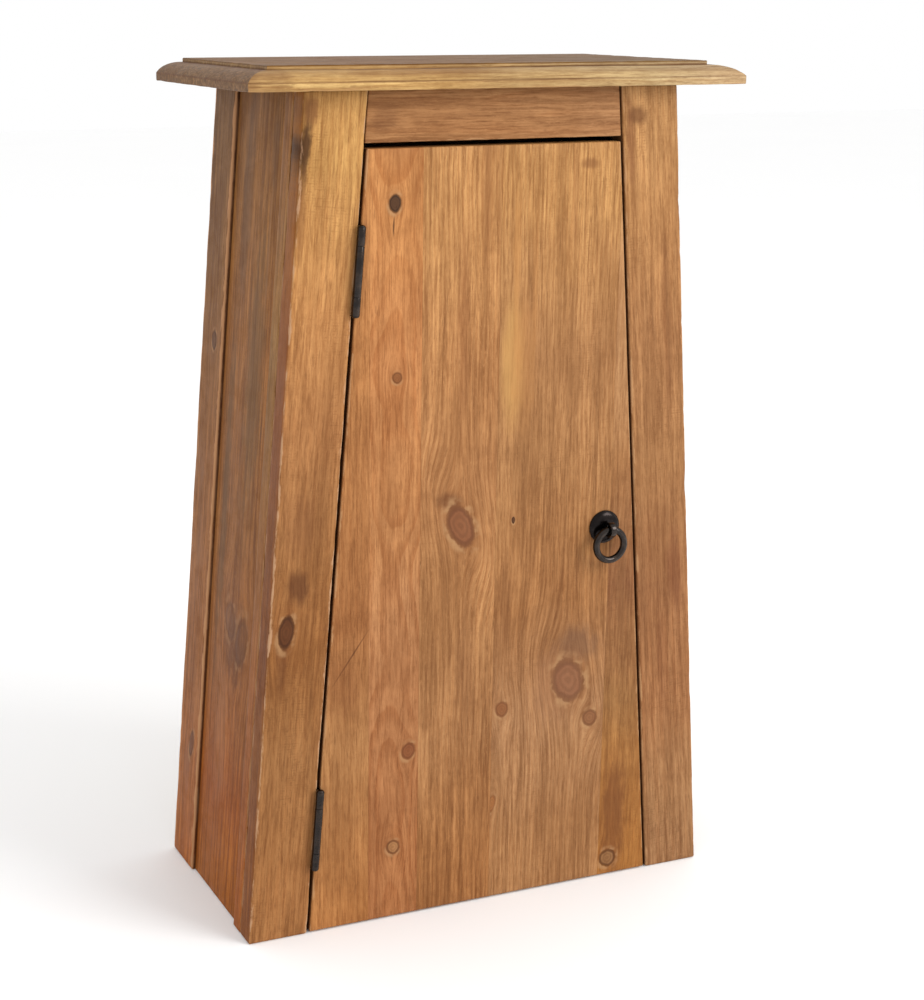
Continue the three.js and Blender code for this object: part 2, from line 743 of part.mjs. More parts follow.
function makePull() {
  const pull = new THREE.Group();
  pull.position.set(pull_from_middle, front_face, pull_height);
  const hole = pull_shank_radius + bore_clearance;
  const washer = flatRing(washer_radius, hole, washer_thickness, ROUND);
  const nut = flatRing(nut_radius, hole, nut_height, nut_sides);
  washer.translate(0, door_thickness + seat_gap, 0);
  nut.translate(0, door_thickness + washer_thickness + 2 * seat_gap, 0);
  pull.add(makeRose(), makePullStud(), makeRing());
  pull.add(node('pull_washer', washer, dark_bronze), node('pull_nut', nut, dark_bronze));
  return pull;
}

// ---- magnetic catch ---------------------------------------------------------------------------
function makeCatch() {
  const high = shelf_heights[1] - wood_clearance;
  const left = catch_from_middle - catch_width / 2;
  const right = catch_from_middle + catch_width / 2;
  const front = door_back + strike_thickness + seat_gap + catch_gap;
  const body = box(left, right, front, front + catch_depth, high - catch_height, high);
  const half_width = strike_width / 2;
  const half_height = strike_height / 2;
  const plate = box(
    catch_from_middle - half_width, catch_from_middle + half_width,
    door_back + seat_gap, door_back + seat_gap + strike_thickness,
    strike_height_middle - half_height, strike_height_middle + half_height,
  );
  const hole = roundBar(
    'y', screw_shank_radius + bore_clearance, door_back - overshoot,
    overshoot + seat_gap + strike_thickness,
    screw_head_radius + bore_clearance,
  );
  hole.translate(catch_from_middle, 0, strike_height_middle);
  const screw = screwGeometry(screw_length).rotateX(Math.PI);
  screw.translate(catch_from_middle, door_back + strike_thickness, strike_height_middle);
  return [
    node('catch_body', body, black_plastic),
    node('catch_strike_plate', cut(plate, hole), zinc_steel),
    node('catch_strike_screw', screw, zinc_steel),
  ];
}

// ---- assembly ---------------------------------------------------------------------------------
const cabinet = new THREE.Group();
cabinet.position.z = -hang_height;

cabinet.add(makeTopBoard());
for (const [label, side] of sides) {
  cabinet.add(makeStile(label, side), makeSideStrip(label, side));
  cabinet.add(makeSidePanel(label, side), makeRearPost(label, side));
}
cabinet.add(makeFrontRail(), makeHangingRail(), makeLowerRail(), makeBackPanel(), makeBase());
[['lower', shelf_heights[0]], ['upper', shelf_heights[1]]].forEach(([label, height]) => {
  cabinet.add(makeShelf(label, height));
  for (const [side_label, side] of sides) cabinet.add(makeCleat(side_label, side, label, height));
});
cabinet.add(...makeDoorBoards());
for (const [label, height] of hinge_heights) cabinet.add(makeHinge(label, height));
cabinet.add(makePull());
cabinet.add(...makeCatch());
for (const [label, x] of hanger_places) cabinet.add(makeHanger(label, x));

const group = new THREE.Group();
group.add(cabinet);

export default group;
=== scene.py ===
"""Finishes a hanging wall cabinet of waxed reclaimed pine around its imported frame.

Every piece is made in metres in the frame's own axes: +X right, -Y front, +Z up.
Sizes named with _mm are millimetres; heights are measured from the cabinet's foot.
"""
import json
import logging
import math
from dataclasses import dataclass, replace
from enum import Enum

import bmesh
import bpy
from mathutils import Matrix, Vector, noise

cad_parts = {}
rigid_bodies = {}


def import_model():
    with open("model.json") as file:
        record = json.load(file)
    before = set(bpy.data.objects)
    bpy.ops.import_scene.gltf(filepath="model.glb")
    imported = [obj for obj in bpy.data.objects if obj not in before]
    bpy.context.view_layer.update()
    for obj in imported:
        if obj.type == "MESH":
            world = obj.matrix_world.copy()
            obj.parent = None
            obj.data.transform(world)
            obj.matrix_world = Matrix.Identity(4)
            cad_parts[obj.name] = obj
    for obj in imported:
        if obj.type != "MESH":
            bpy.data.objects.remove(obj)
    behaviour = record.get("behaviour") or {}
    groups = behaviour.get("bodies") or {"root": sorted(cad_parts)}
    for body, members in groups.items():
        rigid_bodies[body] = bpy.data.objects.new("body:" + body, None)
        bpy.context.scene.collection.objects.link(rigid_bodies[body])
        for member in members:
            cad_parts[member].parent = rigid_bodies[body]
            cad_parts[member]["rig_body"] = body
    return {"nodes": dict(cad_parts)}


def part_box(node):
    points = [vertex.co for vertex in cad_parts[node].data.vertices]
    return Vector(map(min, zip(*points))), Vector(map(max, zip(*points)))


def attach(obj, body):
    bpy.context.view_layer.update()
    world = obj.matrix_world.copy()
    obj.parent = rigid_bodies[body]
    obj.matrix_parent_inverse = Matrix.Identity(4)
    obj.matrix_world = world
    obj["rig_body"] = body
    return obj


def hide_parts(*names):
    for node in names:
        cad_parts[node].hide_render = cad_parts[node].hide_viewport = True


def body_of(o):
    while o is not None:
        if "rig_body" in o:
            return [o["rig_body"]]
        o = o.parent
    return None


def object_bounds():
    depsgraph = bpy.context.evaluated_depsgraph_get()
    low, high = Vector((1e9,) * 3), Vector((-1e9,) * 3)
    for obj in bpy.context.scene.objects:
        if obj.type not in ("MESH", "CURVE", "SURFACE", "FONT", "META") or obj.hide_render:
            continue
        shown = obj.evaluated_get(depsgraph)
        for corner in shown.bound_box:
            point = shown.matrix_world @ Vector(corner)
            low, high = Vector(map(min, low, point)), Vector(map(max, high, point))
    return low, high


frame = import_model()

CAD_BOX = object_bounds()
LOG = logging.getLogger("cabinet")

MM = 0.001
FOOT = CAD_BOX[0].z
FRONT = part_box("left_front_stile")[0].y
HEIGHT_MM = 660.0
HALF_WIDTH_MM = 201.0
DEPTH_MM = 210.0
BODY_HEIGHT_MM = 643.0
LEAN_IN_MM = 50.5
LEAN = math.atan(LEAN_IN_MM / BODY_HEIGHT_MM)
WELD = 2e-6
FLAT_ANGLE = math.radians(0.5)
WOOD_SPECULAR = 0.1
QUARTER = math.pi / 2
FULL_TURN = 2 * math.pi

Rgb = tuple[int, int, int]
Socket = bpy.types.NodeSocket


class Run(Enum):
    """Which way the grain of a board runs."""

    UPRIGHT = "upright"
    LEANING_LEFT_WALL = "left wall"
    LEANING_RIGHT_WALL = "right wall"
    LEFT_SIDE = "left side"
    RIGHT_SIDE = "right side"
    LEVEL = "level"
    FORE_AND_AFT = "fore and aft"


def linear(tone: Rgb, gain: float = 1.0) -> tuple[float, float, float, float]:
    """Turns a display colour into the linear colour that shaders use.

    Args:
        tone: red, green and blue from 0 to 255.
        gain: factor on the linear result.

    Returns:
        The linear colour with an alpha of 1.
    """
    parts = []
    for channel in tone:
        value = channel / 255.0
        value = value / 12.92 if value <= 0.04045 else ((value + 0.055) / 1.055) ** 2.4
        parts.append(min(1.0, value * gain))
    return (parts[0], parts[1], parts[2], 1.0)


class Tree:
    """A shader node tree with short calls for adding and joining nodes."""

    def __init__(self, tree: bpy.types.NodeTree) -> None:
        """Keeps the node tree to work on."""
        self.tree = tree

    def add(self, kind: str, **settings: object) -> bpy.types.Node:
        """Adds a node.

        Args:
            kind: the node's type name.
            settings: properties to set on it.

        Returns:
            The new node.
        """
        node = self.tree.nodes.new(kind)
        for key, value in settings.items():
            setattr(node, key, value)
        return node

    def feed(self, socket: Socket, value: object) -> None:
        """Links a socket to an output, or sets its value when given a plain one."""
        if isinstance(value, bpy.types.NodeSocket):
            self.tree.links.new(value, socket)
        else:
            socket.default_value = value

    def maths(self, operation: str, *values: object, clamp: bool = False) -> Socket:
        """Adds a Math node.

        Args:
            operation: the node's operation.
            values: its inputs, in order.
            clamp: keeps the result between 0 and 1.

        Returns:
            The result.
        """
        node = self.add("ShaderNodeMath", operation=operation, use_clamp=clamp)
        for socket, value in zip(node.inputs, values):
            self.feed(socket, value)
        return node.outputs[0]

    def vectors(self, operation: str, *values: object) -> Socket:
        """Adds a Vector Math node.

        Args:
            operation: the node's operation.
            values: its inputs, in order.

        Returns:
            The vector result, or the number for a length or a dot product.
        """
        node = self.add("ShaderNodeVectorMath", operation=operation)
        for socket, value in zip(node.inputs, values):
            self.feed(socket, value)
        number = operation in ("LENGTH", "DOT_PRODUCT", "DISTANCE")
        return node.outputs["Value" if number else "Vector"]

    def smooth(self, value: Socket, low: object, high: object) -> Socket:
        """Adds a smooth step.

        Args:
            value: the number to test.
            low: where the step starts at 0.
            high: where it ends at 1.

        Returns:
            A mask from 0 to 1.
        """
        node = self.add("ShaderNodeMapRange", interpolation_type="SMOOTHSTEP")
        for index, number in enumerate((value, low, high, 0.0, 1.0)):
            self.feed(node.inputs[index], number)
        return node.outputs[0]

    def fade(self, value: Socket, low: object, high: object) -> Socket:
        """Adds a smooth step that falls from 1 to 0.

        Args:
            value: the number to test.
            low: where it starts to fall.
            high: where it reaches 0.

        Returns:
            A mask from 1 to 0.
        """
        return self.maths("SUBTRACT", 1.0, self.smooth(value, low, high))

    def about(self, vector: Socket, across: Socket, up: Socket,
              tilt: Socket) -> tuple[Socket, Socket, Socket, Socket]:
        """Measures from a mark, straight and along its own tilted axes.

        Args:
            vector: the board's own coordinates.
            across: how far across the mark lies, in millimetres.
            up: how far along it lies.
            tilt: how far it is turned.

        Returns:
            Millimetres across and along, then the same in the mark's axes.
        """
        x, _, z = self.split(vector)
        off_x = self.maths("SUBTRACT", self.maths("DIVIDE", x, MM), across)
        off_z = self.maths("SUBTRACT", self.maths("DIVIDE", z, MM), up)
        cosine = self.maths("COSINE", tilt)
        sine = self.maths("SINE", tilt)
        turned_x = self.maths("SUBTRACT", self.maths("MULTIPLY", off_x, cosine),
                              self.maths("MULTIPLY", off_z, sine))
        turned_z = self.maths("ADD", self.maths("MULTIPLY", off_x, sine),
                              self.maths("MULTIPLY", off_z, cosine))
        return off_x, off_z, turned_x, turned_z

    def mix(self, factor: object, first: object, second: object, blend: str = "MIX") -> Socket:
        """Mixes two colours.

        Args:
            factor: how much of the second.
            first: the colour underneath.
            second: the colour on top.
            blend: the blend type.

        Returns:
            The mixed colour.
        """
        node = self.add("ShaderNodeMix", data_type="RGBA", blend_type=blend)
        node.clamp_factor = True
        for index, value in ((0, factor), (6, first), (7, second)):
            self.feed(node.inputs[index], value)
        return node.outputs[2]

    def noise(self, vector: Socket, scale: float, detail: float = 2.0,
              roughness: float = 0.5, distortion: float = 0.0) -> Socket:
        """Adds a Noise Texture.

        Args:
            vector: where it is read.
            scale: its scale.
            detail: its octaves.
            roughness: the weight of the finer octaves.
            distortion: how much it is stirred.

        Returns:
            Its value, about 0.5.
        """
        node = self.add("ShaderNodeTexNoise")
        self.feed(node.inputs["Vector"], vector)
        settings = {"Scale": scale, "Detail": detail, "Roughness": roughness,
                    "Distortion": distortion}
        for name, value in settings.items():
            node.inputs[name].default_value = value
        return node.outputs[0]

    def ramp(self, value: Socket, stops: list[tuple[float, tuple]]) -> Socket:
        """Adds a Color Ramp.

        Args:
            value: the number that runs along it.
            stops: places from 0 to 1 with their colours.

        Returns:
            The colour.
        """
        node = self.add("ShaderNodeValToRGB")
        band = node.color_ramp
        band.interpolation = "LINEAR"
        while len(band.elements) < len(stops):
            band.elements.new(0.5)
        for element, (place, color) in zip(band.elements, sorted(stops)):
            element.position = place
            element.color = color
        self.feed(node.inputs[0], value)
        return node.outputs[0]

    def split(self, vector: Socket) -> list[Socket]:
        """Returns the x, y and z of a vector."""
        node = self.add("ShaderNodeSeparateXYZ")
        self.feed(node.inputs[0], vector)
        return list(node.outputs)

    def join(self, x: object, y: object, z: object) -> Socket:
        """Returns the vector of three numbers."""
        node = self.add("ShaderNodeCombineXYZ")
        for socket, value in zip(node.inputs, (x, y, z)):
            self.feed(socket, value)
        return node.outputs[0]

    def place(self, group: bpy.types.NodeTree, **values: object) -> bpy.types.Node:
        """Adds a node group.

        Args:
            group: the group's tree.
            values: its inputs by name, with _ for a space.

        Returns:
            The group node.
        """
        node = self.add("ShaderNodeGroup", node_tree=group)
        for name, value in values.items():
            self.feed(node.inputs[name.replace("_", " ")], value)
        return node


def new_material(name: str) -> tuple[bpy.types.Material, Tree, bpy.types.Node, Socket]:
    """Starts a material.

    Args:
        name: the material's name.

    Returns:
        The material, its tree, its shader and the object coordinates.
    """
    material = bpy.data.materials.new(name)
    material.use_nodes = True
    tree = Tree(material.node_tree)
    shader = material.node_tree.nodes["Principled BSDF"]
    where = tree.add("ShaderNodeTexCoord").outputs["Object"]
    return material, tree, shader, where


class Effect:
    """A node group that several finishes share, built once."""

    title = ""
    takes: tuple[tuple[str, str], ...] = ()
    gives: tuple[tuple[str, str], ...] = ()

    def __init__(self) -> None:
        """Makes the group with its sockets and fills it."""
        self.group = bpy.data.node_groups.new(self.title, "ShaderNodeTree")
        for way, sockets in (("INPUT", self.takes), ("OUTPUT", self.gives)):
            for name, kind in sockets:
                self.group.interface.new_socket(
                    name=name, in_out=way, socket_type="NodeSocket" + kind)
        tree = Tree(self.group)
        taken = tree.add("NodeGroupInput").outputs
        given = self.fill(tree, {name: taken[name] for name, _ in self.takes})
        ends = tree.add("NodeGroupOutput").inputs
        for name, socket in given.items():
            tree.feed(ends[name], socket)

    def fill(self, tree: Tree, taken: dict[str, Socket]) -> dict[str, Socket]:
        """Builds the group's nodes.

        Args:
            tree: the group's tree.
            taken: its inputs by name.

        Returns:
            Its outputs by name.
        """
        raise NotImplementedError


class PineGrain(Effect):
    """Growth rings cut by the board's faces, with streaks, fibres and resin lines."""

    title = "Pine Grain"
    takes = (("Vector", "Vector"), ("Pith Across", "Float"), ("Pith Depth", "Float"),
             ("Ring", "Float"), ("Wander", "Float"), ("Seed", "Float"))
    gives = (("Late", "Float"), ("Streak", "Float"), ("Fibre", "Float"), ("Pore", "Float"),
             ("Tick", "Float"))

    def fill(self, tree: Tree, taken: dict[str, Socket]) -> dict[str, Socket]:
        """Builds the rings and the lines that run with them.

        Args:
            tree: the group's tree.
            taken: its inputs by name.

        Returns:
            The late wood, streak, fibre, tick and pore masks.
        """
        spot = tree.vectors("SCALE", taken["Vector"])
        spot.node.inputs["Scale"].default_value = 1.0 / MM
        shift = tree.vectors("SCALE", (131.0, 57.0, 211.0))
        tree.feed(shift.node.inputs["Scale"], taken["Seed"])
        seeded = tree.vectors("ADD", spot, shift)
        slow = tree.noise(tree.vectors("MULTIPLY", seeded, (0.004, 0.004, 0.0065)), 1.0, 1.0)
        side = tree.noise(tree.vectors("MULTIPLY", seeded, (0.011, 0.011, 0.012)), 1.0, 2.0)
        fine = tree.noise(tree.vectors("MULTIPLY", seeded, (0.09, 0.09, 0.02)), 1.0, 3.0, 0.6)
        across, depth, _ = tree.split(spot)
        swing = tree.maths("MULTIPLY", tree.maths("SUBTRACT", slow, 0.5), taken["Wander"])
        sway = tree.maths("MULTIPLY", tree.maths("SUBTRACT", side, 0.5),
                          tree.maths("MULTIPLY", taken["Wander"], 0.35))
        run_x = tree.maths("ADD", tree.maths("SUBTRACT", across, taken["Pith Across"]), sway)
        run_y = tree.maths("ADD", tree.maths("SUBTRACT", depth, taken["Pith Depth"]), swing)
        reach = tree.vectors("LENGTH", tree.join(run_x, run_y, 0.0))
        rough = tree.maths("MULTIPLY", tree.maths("SUBTRACT", fine, 0.5), 0.55)
        count = tree.maths("ADD", tree.maths("DIVIDE", reach, taken["Ring"]), rough)
        year = tree.maths("FRACT", count)
        late = tree.maths("MULTIPLY", tree.smooth(year, 0.25, 0.86), tree.fade(year, 0.9, 1.0))
        strength = tree.smooth(side, 0.3, 0.62)
        late = tree.maths("MULTIPLY", late, tree.maths("MULTIPLY_ADD", strength, 0.6, 0.4))
        streak = tree.noise(tree.vectors("MULTIPLY", seeded, (0.17, 0.17, 0.006)),
                            1.0, 7.0, 0.72, 0.2)
        fibre = tree.noise(tree.vectors("MULTIPLY", seeded, (0.6, 0.6, 0.034)), 1.0, 6.0, 0.78)
        pore = tree.noise(tree.vectors("MULTIPLY", seeded, (0.8, 0.8, 0.07)), 1.0, 2.0, 0.6)
        tick = tree.noise(tree.vectors("MULTIPLY", seeded, (0.75, 0.75, 0.2)), 1.0, 4.0, 0.7)
        return {"Late": late, "Streak": streak, "Fibre": fibre, "Tick": tick,
                "Pore": tree.smooth(pore, 0.61, 0.7)}


class KnotFigure(Effect):
    """A knot that the grain flows round, with its own rings and dark rim."""

    title = "Knot Figure"
    takes = (("Vector", "Vector"), ("Across", "Float"), ("Up", "Float"), ("Wide", "Float"),
             ("Tall", "Float"), ("Tilt", "Float"))
    gives = (("Vector", "Vector"), ("Core", "Float"), ("Rim", "Float"), ("Halo", "Float"),
             ("Figure", "Float"), ("Collar", "Float"))

    def fill(self, tree: Tree, taken: dict[str, Socket]) -> dict[str, Socket]:
        """Builds the knot's masks and bends the grain.

        Args:
            tree: the group's tree.
            taken: its inputs by name.

        Returns:
            The bent vector and the core, rim, halo, figure and collar masks.
        """
        off_x, off_z, turned_x, turned_z = tree.about(
            taken["Vector"], taken["Across"], taken["Up"], taken["Tilt"])
        near_x = tree.maths("DIVIDE", turned_x, taken["Wide"])
        near_z = tree.maths("DIVIDE", turned_z, taken["Tall"])
        flat = tree.join(off_x, 0.0, off_z)
        broken = tree.noise(flat, 0.14, 4.0, 0.6)
        reach = tree.vectors("LENGTH", tree.join(near_x, near_z, 0.0))
        reach = tree.maths("ADD", reach, tree.maths("MULTIPLY_ADD", broken, 0.5, -0.25))
        core = tree.fade(reach, 0.82, 1.05)
        rim = tree.maths("MULTIPLY", tree.smooth(reach, 0.66, 0.92), tree.fade(reach, 0.98, 1.3))
        halo = tree.fade(reach, 0.8, 2.4)
        collar = tree.maths("MULTIPLY", tree.smooth(reach, 1.08, 1.2),
                            tree.fade(reach, 1.3, 1.75))
        collar = tree.maths("MULTIPLY", collar, tree.smooth(
            tree.noise(flat, 0.09, 2.0), 0.42, 0.62))
        rings = tree.maths("SINE", tree.maths("MULTIPLY", reach, 15.0))
        figure = tree.maths("MULTIPLY", core, tree.maths("MULTIPLY_ADD", rings, 0.5, 0.5))
        square_x = tree.maths("POWER", tree.maths("DIVIDE", near_x, 2.1), 2.0)
        square_z = tree.maths("POWER", tree.maths("DIVIDE", near_z, 3.2), 2.0)
        fall = tree.maths("EXPONENT", tree.maths("MULTIPLY", tree.maths("ADD", square_x, square_z),
                                                 -1.0))
        push = tree.maths("MULTIPLY", tree.maths("MULTIPLY", off_x, -0.82 * MM), fall)
        bent = tree.vectors("ADD", taken["Vector"], tree.join(push, 0.0, 0.0))
        return {"Vector": bent, "Core": core, "Rim": rim, "Halo": halo,
                "Figure": figure, "Collar": collar}


class SoftPatch(Effect):
    """A soft-edged stain, flow mark or pale streak."""

    title = "Soft Patch"
    takes = (("Vector", "Vector"), ("Across", "Float"), ("Up", "Float"), ("Wide", "Float"),
             ("Tall", "Float"), ("Tilt", "Float"), ("Break", "Float"))
    gives = (("Mask", "Float"),)

    def fill(self, tree: Tree, taken: dict[str, Socket]) -> dict[str, Socket]:
        """Builds the patch.

        Args:
            tree: the group's tree.
            taken: its inputs by name.

        Returns:
            The patch's mask.
        """
        off_x, off_z, turned_x, turned_z = tree.about(
            taken["Vector"], taken["Across"], taken["Up"], taken["Tilt"])
        near_x = tree.maths("DIVIDE", turned_x, taken["Wide"])
        near_z = tree.maths("DIVIDE", turned_z, taken["Tall"])
        broken = tree.noise(tree.join(tree.maths("MULTIPLY", off_x, 0.14), 0.0,
                                      tree.maths("MULTIPLY", off_z, 0.045)), 1.0, 4.0, 0.65)
        reach = tree.vectors("LENGTH", tree.join(near_x, near_z, 0.0))
        reach = tree.maths("ADD", reach, tree.maths(
            "MULTIPLY", tree.maths("SUBTRACT", broken, 0.5), taken["Break"]))
        return {"Mask": tree.fade(reach, 0.35, 1.15)}


class SawMarks(Effect):
    """Fine ripples across the grain that the saw and the plane left."""

    title = "Saw Marks"
    takes = (("Vector", "Vector"), ("Pitch", "Float"), ("Seed", "Float"))
    gives = (("Mark", "Float"),)

    def fill(self, tree: Tree, taken: dict[str, Socket]) -> dict[str, Socket]:
        """Builds the ripples.

        Args:
            tree: the group's tree.
            taken: its inputs by name.

        Returns:
            The ripple mask.
        """
        x, y, z = tree.split(taken["Vector"])
        spot = tree.join(tree.maths("DIVIDE", x, MM), taken["Seed"], tree.maths("DIVIDE", z, MM))
        wave = tree.noise(tree.vectors("MULTIPLY", spot, (0.018, 1.0, 0.03)), 1.0, 2.0)
        height = tree.maths("DIVIDE", tree.maths("DIVIDE", z, MM), taken["Pitch"])
        turns = tree.maths("ADD", height, tree.maths("MULTIPLY", wave, 4.0))
        ripple = tree.maths("MULTIPLY_ADD", tree.maths("SINE", tree.maths(
            "MULTIPLY", turns, FULL_TURN)), 0.5, 0.5)
        where = tree.noise(tree.vectors("MULTIPLY", spot, (0.03, 1.0, 0.012)), 1.0, 3.0, 0.6)
        grit = tree.noise(tree.vectors("MULTIPLY", spot, (0.24, 1.0, 0.3)), 1.0, 3.0, 0.7)
        ripple = tree.maths("MULTIPLY", ripple, tree.smooth(where, 0.44, 0.64))
        return {"Mark": tree.maths("MULTIPLY", ripple, tree.smooth(grit, 0.46, 0.62))}


class EdgeWear(Effect):
    """Pale rubbed corners, and painted shade with dirt down inside the joint gaps."""

    title = "Edge Wear"
    takes = (("Vector", "Vector"), ("Side One", "Vector"), ("Side Two", "Vector"),
             ("Front", "Float"), ("Back", "Float"), ("Width", "Float"),
             ("Joint One", "Float"), ("Joint Two", "Float"), ("Least", "Float"))
    gives = (("Rubbed", "Float"), ("Joint Shade Dirt", "Float"), ("Flank", "Float"))

    def fill(self, tree: Tree, taken: dict[str, Socket]) -> dict[str, Socket]:
        """Builds the masks from the distance to the board's long corners.

        Args:
            tree: the group's tree.
            taken: its inputs by name. A side is its plane's x, z and offset.

        Returns:
            The rubbed mask, the mask of painted shade with dirt deep inside the joints, and the
            mask of a bare outer side.
        """
        x, y, z = tree.split(tree.vectors("DIVIDE", taken["Vector"], (MM, MM, MM)))
        sides = []
        for name in ("Side One", "Side Two"):
            turn_x, turn_z, offset = tree.split(taken[name])
            along = tree.maths("ADD", tree.maths("MULTIPLY", x, turn_x),
                               tree.maths("MULTIPLY", z, turn_z))
            sides.append(tree.maths("SUBTRACT", offset, along))
        side = tree.maths("MAXIMUM", tree.maths("MINIMUM", sides[0], sides[1]), 0.0)
        deep = tree.maths("MINIMUM", tree.maths("SUBTRACT", y, taken["Front"]),
                          tree.maths("SUBTRACT", taken["Back"], y))
        deep = tree.maths("MAXIMUM", deep, 0.0)
        corner = tree.vectors("LENGTH", tree.join(side, deep, 0.0))
        spot = tree.join(x, y, z)
        patchy = tree.noise(tree.vectors("MULTIPLY", spot, (0.2, 0.2, 0.035)), 1.0, 4.0, 0.7)
        nibble = tree.noise(tree.vectors("MULTIPLY", spot, (0.9, 0.9, 0.5)), 1.0, 3.0, 0.7)
        width = tree.maths("MULTIPLY", taken["Width"], tree.maths(
            "ADD", tree.maths("MULTIPLY", tree.smooth(patchy, 0.42, 0.72), 1.6), taken["Least"]))
        width = tree.maths("ADD", width, tree.maths("MULTIPLY_ADD", nibble, 1.0, -0.5))
        reach = tree.maths("DIVIDE", corner, tree.maths("MAXIMUM", width, 0.2))
        rubbed = tree.fade(reach, 0.45, 1.15)
        # Painted shade with dirt: the joint walls darken from 0.8 mm down into the gap, where shade
        # falls.
        hidden = [tree.maths("MULTIPLY", taken[name], tree.fade(reach_in, 0.2, 0.9))
                  for name, reach_in in zip(("Joint One", "Joint Two"), sides)]
        joint_shade_dirt = tree.maths("MULTIPLY", tree.maths("MAXIMUM", hidden[0], hidden[1]),
                           tree.smooth(deep, 0.8, 2.5))
        bare = [tree.maths("MULTIPLY", tree.maths("SUBTRACT", 1.0, taken[name]),
                           tree.fade(reach_in, 0.4, 1.3))
                for name, reach_in in zip(("Joint One", "Joint Two"), sides)]
        flank = tree.maths("MULTIPLY", tree.maths("MAXIMUM", bare[0], bare[1]),
                           tree.smooth(deep, 0.6, 1.6))
        return {"Rubbed": rubbed, "Joint Shade Dirt": joint_shade_dirt, "Flank": flank}


class Scuffs(Effect):
    """Patchy tarnish and rubbed spots on small metal and plastic parts."""

    title = "Scuffs"
    takes = (("Vector", "Vector"), ("Scale", "Float"))
    gives = (("Patch", "Float"), ("Speck", "Float"), ("Hammer", "Float"))

    def fill(self, tree: Tree, taken: dict[str, Socket]) -> dict[str, Socket]:
        """Builds the masks.

        Args:
            tree: the group's tree.
            taken: its inputs by name.

        Returns:
            The patch, speck and hammered masks.
        """
        spot = tree.vectors("SCALE", taken["Vector"])
        tree.feed(spot.node.inputs["Scale"], taken["Scale"])
        patch = tree.smooth(tree.noise(spot, 0.35, 4.0, 0.65), 0.4, 0.68)
        speck = tree.smooth(tree.noise(spot, 3.2, 3.0, 0.7), 0.52, 0.72)
        return {"Patch": patch, "Speck": speck, "Hammer": tree.noise(spot, 0.9, 2.0, 0.5)}


GRAIN = PineGrain().group
KNOT = KnotFigure().group
PATCH = SoftPatch().group
SAW = SawMarks().group
WEAR = EdgeWear().group
SCUFF = Scuffs().group


@dataclass(frozen=True)
class Knot:
    """One knot. Across is x on a front board, or the distance back on a side board."""

    across: float
    up: float
    wide: float
    tall: float
    tilt: float = 0.0
    core: Rgb = (146, 92, 56)
    rim: Rgb = (92, 56, 32)
    force: float = 1.0


@dataclass(frozen=True)
class Patch:
    """One stain or streak, placed as a knot is."""

    across: float
    up: float
    wide: float
    tall: float
    tone: Rgb
    force: float = 0.6
    tilt: float = 0.0
    broken: float = 1.2


@dataclass(frozen=True)
class Timber:
    """Where a board's grain lies: its own axes run across, into and along it."""

    run: Run
    foot: Vector

    def turn(self) -> Matrix:
        """Returns the rotation from the board's own axes to the frame's."""
        turns = {
            Run.UPRIGHT: Matrix.Identity(3),
            Run.LEANING_LEFT_WALL: Matrix.Rotation(LEAN, 3, "Y"),
            Run.LEANING_RIGHT_WALL: Matrix.Rotation(-LEAN, 3, "Y"),
            Run.LEFT_SIDE: Matrix.Rotation(LEAN, 3, "Y") @ Matrix.Rotation(-QUARTER, 3, "Z"),
            Run.RIGHT_SIDE: Matrix.Rotation(-LEAN, 3, "Y") @ Matrix.Rotation(QUARTER, 3, "Z"),
            Run.LEVEL: Matrix.Rotation(QUARTER, 3, "Y"),
            Run.FORE_AND_AFT: Matrix.Rotation(QUARTER, 3, "X"),
        }
        return turns[self.run]

    def seat(self, tree: Tree, where: Socket) -> Socket:
        """Turns object coordinates into the board's own.

        Args:
            tree: the material's tree.
            where: the object coordinates.

        Returns:
            The board's own coordinates.
        """
        seat = tree.add("ShaderNodeMapping", vector_type="TEXTURE")
        tree.feed(seat.inputs["Vector"], where)
        seat.inputs["Location"].default_value = self.foot
        seat.inputs["Rotation"].default_value = self.turn().to_euler("XYZ")
        return seat.outputs[0]

    def local(self, point: Vector) -> Vector:
        """Returns a frame point in the board's own axes, in millimetres."""
        return (self.turn().transposed() @ (point - self.foot)) / MM

    def mark(self, across: float, up: float) -> tuple[float, float]:
        """Finds a mark on the board.

        Args:
            across: x of the mark, or its distance back from the front, in millimetres.
            up: its height above the foot in millimetres.

        Returns:
            How far across and along the board it lies.
        """
        if self.run in (Run.LEFT_SIDE, Run.RIGHT_SIDE):
            sign = -1.0 if self.run is Run.LEFT_SIDE else 1.0
            edge = sign * (HALF_WIDTH_MM - LEAN_IN_MM / BODY_HEIGHT_MM * up)
            point = Vector((edge * MM, FRONT + across * MM, FOOT + up * MM))
        else:
            point = Vector((across * MM, FRONT, FOOT + up * MM))
        own = self.local(point)
        return own.x, own.z


PALE_WOOD = (1.26, 1.3, 1.34, 1.0)
DARK_WOOD = (0.5, 0.41, 0.34, 1.0)
LATE_WOOD = (0.72, 0.58, 0.47, 1.0)
PALE_THREAD = (1.07, 1.08, 1.09, 1)
DARK_THREAD = (0.64, 0.56, 0.5, 1)
RESIN_TONE = (98, 58, 30)
# Dark red-brown of the painted shade and dirt deep inside the joint gaps.
JOINT_SHADE_DIRT_TONE = (62, 34, 20)
HALO_TONE = (150, 92, 52)
COLLAR_TONE = (206, 160, 112)
# Painted shade: colour of the thin dark lines drawn along the top's moulding creases.
CREASE_SHADE_TONE = (96, 60, 34)
SAWN_DARK_TONE = (70, 48, 30)
SAWN_PALE_TONE = (150, 112, 74)
SAW_PITCH_MM = 2.1
WOOD_BUMP_MM = 0.25
METAL_BUMP_MM = 0.3


